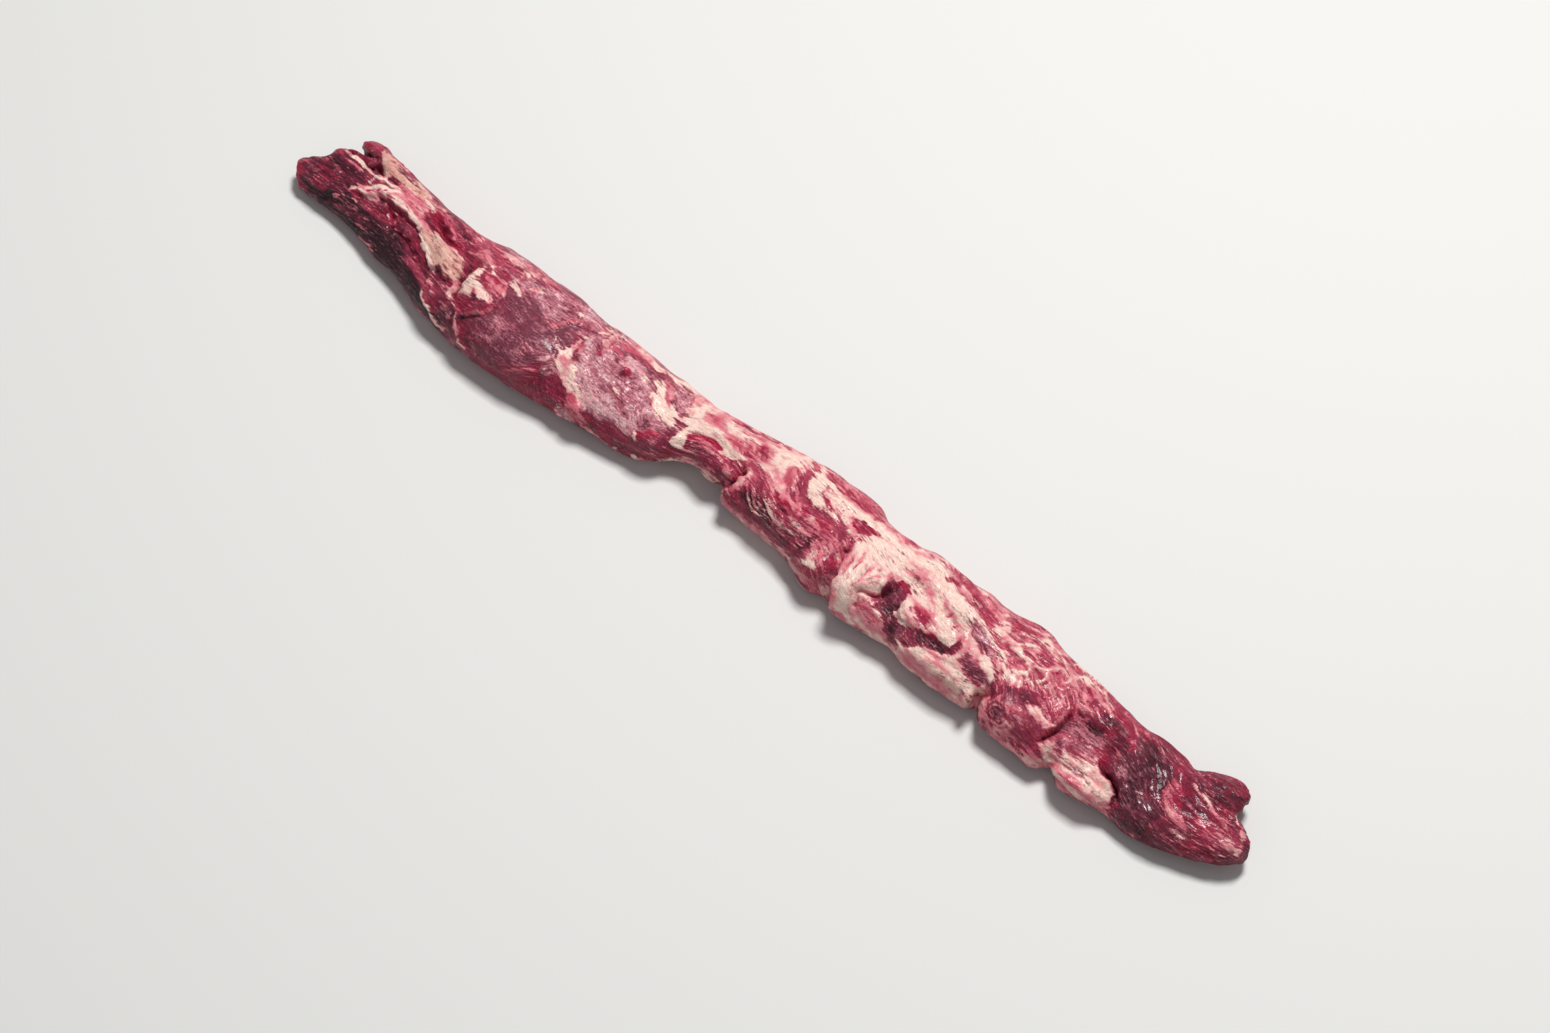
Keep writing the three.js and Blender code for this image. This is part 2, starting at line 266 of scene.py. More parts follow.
def inside(path, window):
    """Whether each cell lies inside a closed path."""
    px, py = WANDER_X[window], WANDER_Y[window]
    within = np.zeros(px.shape, bool)
    for (ax, ay), (bx, by) in zip(path, np.roll(path, -1, axis=0)):
        if ay != by:
            within ^= ((ay > py) != (by > py)) & (px < (bx - ax) * (py - ay) / (by - ay) + ax)
    return within


print("a test stroke has", len(curve([0, 0, 5, 2, 9, 0])), "points")

# %% [markdown]
# ## The run of the fibres
# Muscle is bundles of fibre, and marbling, torn threads and the grain of the gloss all follow them. Here a
# few combing lines say which way the fibres run, the direction is blended between them, and random specks
# are smeared along it, as wind smears smoke. The result is streaks that bend with the muscle.
# %% Comb the fibres
lean_x = np.full(PLAN_SHAPE, 0.25)
lean_y = np.zeros(PLAN_SHAPE)


def comb(*points, reach=4.5):
    """Makes the fibres near a line run along it."""
    path = curve(points)
    window = window_round(path, 2.6 * reach)
    px, py = PLAN_X[window], PLAN_Y[window]
    for a, b in zip(path[:-1], path[1:]):
        d = b - a
        t = np.clip(((px - a[0]) * d[0] + (py - a[1]) * d[1]) / (d @ d), 0, 1)
        away = np.hypot(px - a[0] - t * d[0], py - a[1] - t * d[1])
        weight = np.exp(-((away / reach) ** 2))
        angle = 2 * math.atan2(d[1], d[0])
        lean_x[window] += weight * math.cos(angle)
        lean_y[window] += weight * math.sin(angle)


# Head, seam and near flank
comb(-252, 0, -222, 2)
comb(-243, 12, -222, 11, -214, 8)
comb(-240, 19, -215, 17.5, -200, 17.5)
comb(-238, 24, -200, 23, -160, 18.5)
comb(-228, -6, -200, -6, -170, -14, -145, -24)
comb(-224, -1, -205, 0, -185, -5, -165, -13)
comb(-218, 8, -205, 13, -190, 10, -175, 3, -160, -3)
comb(-208, 7, -195, 4, -185, -1, -172, -9)
comb(-200, 20, -158, 16, -140, 19, -110, 21)
# Bulge and flat lobe
comb(-136, 6, -112, -12, reach=8)
comb(-118, -24, -108, -15, -104, -9)
comb(-102, -14, -99, -24, reach=3)
comb(-104, -1, -90, -9, -80, -14, -70, -19)
comb(-90, 0, -75, -6, -60, -12)
comb(-58, -3, -57, -14, reach=3)
comb(-80, 17, -62, 13, -48, 4, -40, 2)
comb(-90, 19.5, -60, 19.5, -30, 17)
comb(-88, -20, -60, -19, -46, -15)
# Neck and body
comb(-37, 0, -29, 5, -18, 3, -9, -1, reach=3)
comb(-40, -14, -26, -6, -10, -5, reach=3)
comb(-45, 6, -35, 10, -20, 8, -5, 6)
comb(-40, 14, -25, 13, -12, 17, 5, 20)
comb(-40, 19, -20, 20.5, 0, 24, 16, 25)
comb(-18, 17, -10, 10, reach=3)
comb(-9, 19, -2, 12, reach=3)
comb(-8, 8, 0, 4, 8, -3, 20, -8, 32, -8)
comb(2, 9, 10, 1, 22, -4, 36, -2, 42, -8)
comb(-8, -9, -4, -12, 10, -12, 30, -15, 45, -19, reach=3)
comb(9, 22, 12, 14, 15, 8, reach=3)
comb(5, 25, 30, 24, 50, 21, 70, 20)
comb(20, 20, 35, 18.5, 50, 17, 70, 17)
comb(24, 16, 30, 11, 38, 6, 44, 1, 46, -8)
comb(40, -3, 44, -10, 49, -16, reach=3)
# Flap, pocket and fat expanse
comb(49, 6, 51, -8, 58, -21)
comb(57, 6, 58, -8, 64, -18, reach=3)
comb(62, 6, 67, 2, 68, -4, 62, -9, 66, -17, reach=3)
comb(70, -2, 78, -8, 86, -15, 92, -20)
comb(66, -9, 76, -13, 88, -20)
comb(68, -18, 85, -20, 120, -21)
comb(48, 16, 60, 14, 80, 12, 95, 2, 108, -8)
comb(70, 18, 80, 21, 95, 14, 105, 10, 120, 4, 130, 0)
comb(105, 14, 115, 8, 128, 2, 133, -6)
comb(60, 21, 80, 23, 105, 20, 120, 19, 140, 21, 165, 18)
comb(85, 20, 100, 16, 115, 12)
comb(112, 13, 122, 18, 133, 21)
# Folded lobe, web, twist and tail
comb(133, -2, 134, -12, 138, -20, 150, -23, 160, -24)
comb(140, -10, 150, -14, 158, -18)
comb(145, 6, 152, -2, 157, -10)
comb(150, 16, 158, 4)
comb(161, -5, 175, -6, 190, -12, 198, -20)
comb(165, -1, 180, -2, 191, -8)
comb(163, -20, 175, -21, 195, -22, 212, -24)
comb(165, 15, 175, 8, 185, 2, 195, -8, 205, -18, 215, -22)
comb(175, 16, 190, 10, 200, 0, 210, -10, 225, -16)
comb(190, 14, 205, 10, 215, 4, 228, -1, 241, -6)
comb(205, 5, 209, -2, 215, -8, 225, -9, 240, -8, reach=3)
comb(211, 12, 224, 14, 234, 15)
comb(215, 9, 237, 3)
comb(214, -21, 230, -15, 245, -8)

fibre_angle = 0.5 * np.arctan2(lean_y, lean_x)
print("the fibres turn by up to", round(float(np.degrees(np.abs(fibre_angle).max()))), "degrees")

# %% [markdown]
# ## Smearing along the fibres
# Random specks are carried a few millimetres along the fibres, both ways, and averaged. Three sizes give
# fine threads, strands and broad bands, which fray every edge that is laid later.
# %% Streaks along the fibres
def smear(field, reach, step=0.5):
    """The field averaged along the fibres for reach millimetres each way."""
    cos, sin = np.cos(fibre_angle), np.sin(fibre_angle)
    total = field.copy()
    for way in (1, -1):
        x, y = PLAN_X.copy(), PLAN_Y.copy()
        last_x, last_y = way * cos, way * sin
        for _ in range(int(reach / step)):
            row = np.clip(((y - PLAN_LOW[1]) / CELL).astype(int), 0, PLAN_SHAPE[0] - 1)
            column = np.clip(((x - PLAN_LOW[0]) / CELL).astype(int), 0, PLAN_SHAPE[1] - 1)
            dx, dy = cos[row, column], sin[row, column]
            turned = np.where(dx * last_x + dy * last_y < 0, -1, 1)
            last_x, last_y = turned * dx, turned * dy
            x += step * last_x
            y += step * last_y
            total += sample(field, x, y)
    return (total - total.mean()) / total.std()


threads = smear(np.random.default_rng(11).standard_normal(PLAN_SHAPE), 4)
strands = smear(cloud(12, 2.2, 2.2), 7)
bands = smear(cloud(13, 4.5, 4.5), 10)
print("made threads, strands and bands, each with a spread of", round(float(strands.std()), 2))

# %% [markdown]
# ## Paint and chisel
# Each finish of the meat is a mix of a few makings: how much fat, how tinged with blood it is, how much
# silver skin lies over it, how dark or how freshly cut the lean is, and how much tendon shows. Some finishes
# and strokes also paint shade and glints with these makings, and later the hollows and the near side get
# painted shade in the dark, pink and tendon makings. A stroke lays one finish down with edges frayed along
# the fibres. The chisel strokes raise ridges and one-sided folds and cut grooves, in the same wandering
# coordinates, so that relief and colour stay together.
# %% Finishes and strokes
FINISHES = {
    "lean": {"fat": -0.1, "silver": 0, "dark": 0.22, "fresh": 0.28, "tendon": 0, "lace": 0},
    "dark": {"fat": -0.35, "silver": 0, "dark": 1.08, "fresh": 0.05, "tendon": 0, "lace": 0},
    # Near black: dark lean with painted shade laid over it, on the near flank and in the twist's fold and slot
    "dusk": {"fat": -0.6, "silver": 0, "dark": 1.8, "fresh": -0.6, "tendon": 0, "lace": 0},
    "red": {"fat": -0.4, "silver": 0, "dark": 0.1, "fresh": 1, "tendon": 0, "lace": 0},
    "crimson": {"fat": -0.45, "silver": 0, "dark": 0.75, "fresh": 0.55, "tendon": 0, "lace": 0},
    "lacy": {"fat": 0.8, "silver": 0, "dark": -0.5, "fresh": 0.45, "tendon": 0, "pink": 0.6, "lace": 1},
    "marbled": {"fat": 0.46, "silver": 0, "dark": -0.35, "fresh": 0.35, "tendon": 0, "pink": 0.5, "lace": 0.7},
    "streaky": {"fat": 0.34, "silver": 0, "dark": -0.1, "fresh": 0.25, "tendon": 0, "pink": 0.5, "lace": 0.3},
    "fat": {"fat": 1.22, "silver": 0, "tendon": 0.12, "pink": 0.3},
    "cream": {"fat": 1.3, "silver": 0, "tendon": 0, "pink": -0.2},
    "white": {"fat": 1.4, "silver": 0, "tendon": 0, "pink": -0.9},
    "pink": {"fat": 0.96, "silver": 0, "tendon": 0, "pink": 0.7},
    "rose": {"fat": 0.74, "silver": 0, "dark": -0.3, "tendon": 0, "pink": 1.2},
    "film": {"fat": -0.35, "silver": 1, "pale": 0.1, "tendon": 0, "dark": 0.4, "fresh": 0, "lace": 0.15},
    "veil": {"fat": -0.2, "silver": 1, "pale": 0.8, "tendon": 0, "dark": 0.3, "fresh": 0, "lace": 0.5},
    # A thin pale film of silver skin; on the head fan, the twist, the tail and the strands past the hump its
    # strokes paint highlights and glints
    "haze": {"silver": 0.6, "pale": 0.6},
    "frost": {"fat": 0.25, "silver": 1, "pale": 1.6, "tendon": 0, "pink": 0.3},
    "tendon": {"fat": 0.9, "silver": 0, "tendon": 1, "pink": 0.2},
    "wet": {"wet": 1},
}
MAKINGS = ("fat", "pink", "silver", "pale", "dark", "fresh", "tendon", "wet", "lace")
makings = {name: np.zeros(PLAN_SHAPE) for name in MAKINGS}
relief = np.zeros(PLAN_SHAPE)


def lay(finish, window, cover):
    for name, value in FINISHES[finish].items():
        making = makings[name][window]
        making += (value - making) * cover


def draw(finish, points, half_width, strength=1):
    """A stroke of one finish that narrows at both ends."""
    path = curve(points)
    window = window_round(path, 3 * half_width + 2)
    distance, share, _ = measure(path, window)
    taper = 0.3 + 0.6 * np.sqrt(np.sin(np.pi * np.clip(share, 0.02, 0.98)))
    fray = half_width * (0.28 * strands[window] + 0.18 * threads[window])
    softness = 0.35 + 0.38 * half_width
    lay(finish, window, strength * ease(-softness, softness, half_width * taper + fray - distance))


def weave(finish, first, last, half_width, count, strength=1, height=0):
    """Fine strokes spread between two guides, each with ends of its own, as strands lie in a bundle."""
    a, b, count = np.reshape(first, (-1, 2)), np.reshape(last, (-1, 2)), int(count)
    chance = np.random.default_rng(int(np.abs(a).sum() * 10) + count)
    for share in (np.arange(count) + chance.uniform(0.15, 0.85, count)) / count:
        path = curve(a + (b - a) * share)
        start, end = chance.uniform((0, 0.65), (0.3, 1)) * (len(path) - 1)
        part = path[int(start) : int(end) + 2 : 2].ravel()
        width = half_width * chance.uniform(0.7, 1.35)
        rib(finish, part, width, strength * chance.uniform(0.6, 1), height, width)


def fill(finish, points, soft=1.2, strength=1):
    """A patch of one finish inside a closed outline."""
    path = curve([*points, *points[:2]])
    window = window_round(path, 5 * soft)
    distance, _, _ = measure(path, window)
    depth = np.where(inside(path, window), distance, -distance)
    fray = soft * (0.6 * strands[window] + 0.35 * threads[window])
    lay(finish, window, strength * ease(-1.5 * soft, 1.5 * soft, depth + fray))


def ridge(points, height, half_width):
    """A rounded ridge, or a groove where the height is negative."""
    path = curve(points)
    window = window_round(path, 2.4 * half_width)
    distance, share, _ = measure(path, window)
    taper = np.sqrt(np.sin(np.pi * np.clip(share, 0.01, 0.99)))
    relief[window] += height * taper * np.exp(-((distance / half_width) ** 2))


def fold(points, height, reach, edge=0.55):
    """A flap that stands proud on the left of a line and falls off sharply at it."""
    path = curve(points)
    window = window_round(path, 3 * reach)
    distance, share, side = measure(path, window)
    taper = np.sqrt(np.sin(np.pi * np.clip(share, 0.005, 0.995)))
    body = np.exp(-((distance / reach) ** 2)) * ease(-edge, edge, side * distance)
    tuck = 0.45 * np.exp(-(((side * distance + 2 * edge) / (1.6 * edge)) ** 2))
    relief[window] += height * taper * (body - tuck)


def rib(finish, points, half_width, strength, height, ridge_half_width):
    """A stroke and a ridge on one path."""
    draw(finish, points, half_width, strength)
    ridge(points, height, ridge_half_width)


def lump(x, y, half_length, half_width, turn, height):
    """A rounded muscle or lump of fat, or a hollow where the height is negative."""
    cos, sin = math.cos(math.radians(turn)), math.sin(math.radians(turn))
    dx, dy = PLAN_X - x, PLAN_Y - y
    reach = np.hypot((dx * cos + dy * sin) / half_length, (dy * cos - dx * sin) / half_width)
    relief[...] += height * np.clip(1 - reach**2, 0, 1) ** 1.5


print("there are", len(FINISHES), "finishes")

# %% [markdown]
# ## A score of strokes
# The flesh takes a few hundred strokes, and their order matters, as it does with paint. They are written as
# scores: each line names the tool and the finish, then gives the tool's numbers in the order that its
# function takes them, and after each colon a path as x and y, x and y. Longer lines run on, indented.
# %% Carry out a score
TOOLS = {"draw": draw, "rib": rib, "fill": fill, "ridge": ridge, "fold": fold}


def work(score):
    """Does each line of a score in turn; a weave takes two paths at once, the other tools one at a time."""
    lines = score.strip().replace("\n  ", " ").splitlines()
    for line in lines:
        head, *places = (part.split() for part in line.split(":"))
        tool, *words = head
        finish = [word for word in words if word in FINISHES]
        numbers = [float(word) for word in words[len(finish):]]
        paths = [[float(word) for word in place] for place in places]
        if tool == "weave":
            weave(*finish, *paths, *numbers)
        elif tool == "lump":
            lump(*numbers)
        else:
            for path in paths:
                TOOLS[tool](*finish, path, *numbers)
    print("laid", len(lines), "lines of strokes")


print("a score may use", sorted(TOOLS), "and weave and lump")

# %% [markdown]
# ## The main forms
# Under all the small detail, the strip is a row of muscles and fat lumps, with hollows and clefts between
# them. These are the same forms that the solid has: each is a low rounded hill on the plan.
# %% Muscles, lumps and hollows
for form in [
    (-237, 13, 17, 4.5, -4, 1.6), (-235, -3, 18, 5.5, 6, 1.8), (-218, 23.5, 24, 4.5, -6, 2),
    (-204, 11.5, 20, 5, -4, 2.2), (-171, 3, 14, 6.5, -32, 2.4), (-178, 19, 26, 4.5, -3, 1.4),
    (-148.5, 0, 9.5, 12, 12, 4.6), (-158, 13.5, 5.5, 5, 0, 2.2), (-122, -5, 27, 22, -8, 3),
    (-94, 6, 5.5, 13, 12, 1.8), (-72, 1, 24, 17, -6, 1.4), (-81, -18, 9, 4.5, -18, 2.2),
    (-46, -11, 9.5, 7.5, 0, 2.4), (-22, -1, 14, 6.5, -12, 2.4), (-20, 14.5, 22, 7.5, 8, 1.4),
    (11, 0, 20, 10, -10, 2), (20, 17, 26, 7.5, -3, 1.5), (42, -12, 9, 8.5, 0, 2),
    (56.5, -7, 9.5, 17, 12, 4), (65, 1, 6.5, 6, 0, 2.6), (86, -3, 7.5, 6, 0, 2.4),
    (99, 10, 10, 6, 0, 2.8), (77, 15, 25, 7.5, 0, 1.8), (108, -17, 15, 5.5, 0, 1.8),
    (118, -4, 12, 7, -20, 1.4), (136, 14, 20, 8, -3, 1.4), (144, -11, 15, 12, 0, 3.6),
    (181, -20.5, 16, 5, 2, 3.4), (189, 4, 19, 7, -38, 3.4), (208, -14, 15, 7.5, -14, 2.4),
    (224, 12, 12, 6.5, 6, 1.4), (236, -6, 11, 6.5, 22, 1.4),
    (-181, 13, 10, 3.2, -24, -3), (76, -6, 9, 6, -30, -2.2), (100, -8, 9, 4, 0, -2.2),
    (174, -5, 13, 9, -6, -4.4), (212, 3, 10, 5, -34, -1.6),
]:
    lump(*form)
print("forms rise to", round(float(relief.max()), 1), "mm and dip to", round(float(relief.min()), 1))

# %% [markdown]
# ## The body's own colour
# Before any detail, the whole plan gets the finish that each stretch has most of: lean at the head,
# silver skin over the bulge, marbled flesh in the middle, and dark lean again at the tail.
# %% Ground finishes
work("""
fill lean : -262 -38 262 -38 262 38 -262 38
fill streaky 2 0.8 : -232 19 -200 17 -158 13 -150 19 -110 24 -110 30 -240 32
fill film 2 : -141 12 -128 13 -122 20 -112 19 -103 8 -101 -6 -106 -12 -116 -22 -130 -34 -150 -20
fill veil 3 : -133 12 -122 9 -110 12 -100 14 -100 26 -150 26 -146 17
fill veil 2 : -102 26 -98 -6 -88 -13 -70 -16 -52 -13 -44 -2 -44 20 -60 26
fill lacy 2 : -46 28 -44 8 -34 6 -8 2 2 6 18 10 46 8 52 28
fill streaky 2 : -14 8 -10 -16 30 -22 52 -22 50 6 20 9
fill fat 2 : 47 13 60 19 72 23 96 18 112 8 126 -2 132 -22 116 -28 60 -28 48 -10
fill lacy 2 : 50 27 60 19 72 22 90 17 108 10 126 0 134 -8 150 -8 160 0 172 14 172 27
fill streaky 1.5 : 129 -6 134 -28 164 -28 160 -2 146 4
fill pink : 161 1 176 -1 186 -6 198 -20 212 -24 205 -30 160 -30 160 -10
""")
print("ground laid; lean covers", round(float((makings["fat"] < 0).mean()) * 100), "percent of the plan")

# %% [markdown]
# ## The frayed head
# At the head the muscle was pulled off, not cut, so its bundles end in a ragged fan. The tips are bright
# where they tore last, and a thin strand on the far side has come away and leaves a groove. Pale haze strokes
# across the fan paint its soft highlights, and a dark stroke along the groove paints the shadow in it.
# %% Head fan and far strand
work("""
fill dark 1.2 0.95 : -254 8 -238 19 -226 19 -220 8 -220 0 -228 -4 -226 -12 -250 -12
weave dark 0.8 9 0.85 -0.45 : -249 12 -238 12.5 -223 10 : -249 -8 -238 -9 -223 -7
weave haze 0.35 9 0.25 0.4 : -247 10 -237 11 -223 8 : -248 -6 -238 -8 -226 -7.5
fill dark 2 0.4 : -246 8 -238 12 -224 9 -222 -2 -230 -7 -242 -7 -247 0
weave red 0.6 4 0.35 : -246 8 -237 8 -225 6 : -250 -4 -238 -6 -224 -5
draw red 1.5 0.8 : -251 -1 -248 -5 -244 -8.5 -240 -9.5
draw rose 0.7 0.5 : -252 1.5 -249 1 -247 3
draw rose 0.5 0.5 : -247 7 -243.6 9.6 -241 12
draw red 0.9 0.6 : -243 12 -240 15 -237 18
draw pink 1.4 : -239 15.4 -231 15 -224 14 -219 12.6
weave cream 0.5 3 0.85 : -238 16.2 -231 15.8 -221 14 : -236 14.6 -229 14 -220 12.4
draw rose 0.9 0.7 : -241 13.6 -234 13 -228 12.2
weave pink 0.4 3 0.7 : -238 18.8 -228 18.4 -219 17.8 : -236 17.2 -228 16.8 -220 15.8
draw dark 0.7 : -241 19.5 -232 19 -225 18.3 -219 17.3
ridge -3.6 1.6 : -243 19.8 -232 19.3 -220 17.8
ridge 0.9 1.3 : -240 16.5 -230 15.7 -219 13.5
fill red 0.7 : -241 23.6 -237 28.4 -229 29.6 -226.6 25.4 -228.4 20.6 -235 20
fill red 0.9 : -237 27 -230 27.4 -228.6 22.6 -231 20.6 -236 22.6
fill crimson 0.8 0.3 : -239 24 -236 27.4 -230 28.4 -228 25 -229.6 21 -235 21
fill lean 0.7 0.8 : -229.6 24 -225 23 -221.6 20.4 -223 19 -230 19.6
fill tendon 0.6 : -226.4 26.4 -223 21.5 -219 19 -208 19 -197 19 -196 22 -212 25.5
draw cream 0.9 : -223.8 22.4 -222.4 20.4 -219.6 18.6 -218 16.6
weave dark 0.4 6 0.6 -0.35 : -226 26.8 -212 25.2 -196 23 : -221 22 -210 21.4 -198 20.4
draw red 0.8 0.7 : -232 28.6 -218 27.4 -204 25.4 -192 23.6
weave lean 0.7 5 0.8 : -202 23.6 -185 22 -166 19.8 : -196 18.8 -182 18 -164 15.6
weave pink 0.5 6 0.6 : -200 23.4 -182 21.4 -160 19 : -192 18.8 -180 17.6 -162 14.8
weave tendon 0.6 3 0.6 : -200 22 -190 21.4 -176 20 : -196 19.4 -186 18.6 -172 16.6
weave dark 0.45 5 0.75 -0.3 : -204 24 -185 22.6 -164 19.8 : -186 18.4 -176 16.6 -162 14
""")
print("head fan and far strand laid")

# %% [markdown]
# ## The fat seam
# A crooked seam of fat parts the head's muscles, with small red knots where it was torn. The seam is laid
# as filled patches with cream strokes on top, and the knots are short strokes that are also sunk in.
# %% Fat seam and its knots
work("""
rib cream 0.7 1 0.9 0.7 : -223 21 -219 19 -218 16 -219.5 13 -221 10 : -218 16.5 -213 15 -208 16.5 -204 17
draw dark 1.1 : -217 18.3 -212 17.8 -207 18.3
draw dark 0.9 : -216 14 -212 13.3 -208 14.8
draw red 1.3 0.7 : -210 16.8 -207 16 -205 16.8
fill pink : -222 7 -217 11.5 -212 13.7 -206 16.8 -196 17 -189 14 -183 11 -176 8 -183 5 -191 7.5 -200 9 -210
  9.5 -213 6 -224 3
fill rose 1.5 0.8 : -207 15.5 -198 15.5 -190 12.5 -194 10.5 -205 12
draw cream 1.3 : -219 8.5 -216 11 -211 12.6 -207 14.2
draw cream 0.8 : -224 3.6 -219 5.5 -214 6.6
draw cream 0.7 : -211 12 -210.5 9.5 -209 8.6
draw cream 1 : -206 10.6 -198 10 -191 8.6 -185 5.6 -180 2
""")
for x, y, radius in [
    (-212, 11.2, 0.9), (-214.5, 9, 0.8), (-217.5, 7.4, 0.8), (-192, 11.5, 0.6), (-190.3, 10.8, 0.5),
]:
    draw("red", (x - 0.4, y, x + 0.5, y + 0.1), radius)
    ridge((x - 0.5, y, x + 0.5, y), -0.9, radius)
work("""
draw red 1.7 : -221.5 3.2 -219 4.4
ridge 0.8 1.3 : -222 3 -219 4.5
fold 1.5 3.2 : -224 2.5 -216 6 -210 8.6 -200 8.6 -190 6.6 -184 3.6
draw cream 0.8 0.8 : -196.5 18.6 -192 17.6 -188 17.2
draw pink 0.5 0.7 : -186 16.5 -178 15 -171 13.4
""")
print("seam laid")

# %% [markdown]
# ## Slot, tendon and pits
# A red slot shows fresh muscle where the far strand pulled away, and beside it lies a dull, yellowish
# patch of tendon. A row of pits runs below. The slot and pits are grooves as well as colour. Dark strokes
# along the slot's lower side and along the foot of the knob paint the shade in those grooves.
# %% Red slot, tendon patch and pits
work("""
fill crimson 0.7 : -191 14.5 -188 17 -182 15.3 -176 13.4 -171 12.4 -170 10.8 -176 9 -182 9.6 -188 11.8
fill red 1 0.6 : -190.5 14.5 -188 16.6 -182 14.8 -184 12.6
draw pink 0.9 : -193 17 -192 12 -187 9.4 -180 8 -174 7.6 -168 9.4
draw rose 0.8 : -190 17.8 -182 16.4 -175 14.4 -169.6 12.4 -167.6 9.8
draw dark 0.6 0.7 : -189.4 13 -185 11 -180 9.8 -174 9.4
ridge -2.6 1.8 : -190 14.5 -183 12 -176 10.6 -171 11.3
fold 1 2.6 0.45 : -170 13.2 -180 15.6 -190 18
fill tendon 0.9 : -190 6.5 -183 9 -174 8.3 -165 6.3 -159.5 2 -158.5 -3 -163 -4.5 -168 -2.6 -173 -4.5 -179 1
  -185 4.6
draw cream 1.5 : -182.5 2.8 -177 -0.5 -172 -4 -169.5 -5
draw fat 0.8 0.5 : -186 6 -177 5.5 -168 3.8 -161 0
draw pink 0.7 0.7 : -188 8.3 -178 7.8 -168 6.2 -161 3
fold 1.3 3.2 : -185 4 -179 0.4 -173 -4.6 -168 -3.4 -162 -5 -158.5 -4
draw crimson 1.6 : -169 -3.6 -165 -5.5 -160 -6.2
fill crimson 0.9 : -209 8.2 -200 8 -190 5.6 -184 2.4 -177 -2.4 -170 -8 -176 -7 -184 -3.4 -192 0 -202 1.5
  -206 3.5
draw red 1.4 0.8 : -207 6.6 -203 3.4 -201.5 2.2
draw lean 0.9 0.8 : -206 7.6 -196 6 -186 1.6
rib pink 0.55 1 0.7 0.6 : -210 8.4 -206 4.8 -203 2 -199.5 0.6 : -199.5 0.6 -200 4 -202.5 6 : -199.5 1.5 -194
  0.6 -189 0.4 : -189 0.6 -184 -3 -178 -6.4 -174 -9.5
""")
for x, y, radius in [
    (-205.5, 5, 1.6), (-201.6, 3.6, 1.3), (-198, 0.2, 1.5), (-193, 0, 1.7), (-187.5, -0.8, 1.5),
    (-183, -3.4, 1.2), (-179, -5.6, 1),
]:
    rib("crimson", (x - 1, y + 0.3, x + 1, y - 0.4), radius, 1, -1.3, radius)
work("""
draw rose 1.1 : -180 -6 -177 -8 -174.5 -9.6
rib dark 0.7 1 -1.6 0.9 : -168 9.5 -161 6 -157.5 1.5 -157.5 -4 -154 -11
draw pink 0.7 : -160 -3 -157.8 -8 -155.5 -12
draw haze 0.8 : -165 -7 -159 -9 -156 -13
""")
print("slot, tendon and pits laid")

# %% [markdown]
# ## The near flank of the head
# Below the seam the strip drops away in one long, dark muscle with fine straight fibres. It is turned away
# from the light, and its near-black fill is painted shade laid over the dark lean. Two pale rims of torn skin
# run down its edge to the bulge.
# %% Near flank
work("""
fill dusk : -229 -3 -222 -0.6 -205 -0.5 -196 -1.6 -188 -5 -180 -9 -171 -12.5 -160 -17 -148 -24 -140 -29 -160
  -36 -200 -30 -228 -18
weave lean 1 4 0.55 : -228 -4 -218 -2.6 -206 -2.6 : -227 -8.6 -216 -8 -203 -8.6
weave rose 0.35 4 0.3 : -226 -4 -212 -4 -200 -4.6 : -224 -9 -210 -10 -196 -13
draw lean 1 0.5 : -208 -2 -196 -3.5 -184 -8
rib pink 0.5 0.9 0.8 0.7 : -227.5 -5.5 -226 -2.2 -222 -0.4 -217.5 0
draw pink 0.45 0.8 : -208 -12.4 -201 -13.6 -194 -15.4
draw red 0.9 0.5 : -228 -9.6 -224 -10 -220 -9.8
fill pink 0.6 : -170.5 -9.6 -167 -9.4 -163 -11.6 -160.5 -13.8 -164 -13.6 -169 -11.2
draw red 0.7 : -167 -11.2 -163.5 -12.8
ridge 1.3 1.5 : -170 -10.3 -165 -12 -161 -13.6
fill dark 1 0.9 : -163 -14 -154 -12.8 -147 -15.5 -141 -21 -139 -25 -150 -22 -157 -18.5
weave haze 0.6 4 0.8 0.4 : -160 -13.8 -152 -15 -145 -19 : -162 -16 -152 -20 -143 -23.6
draw dark 1 : -159 -13 -155 -12.4 -151 -14
""")
print("near flank laid")

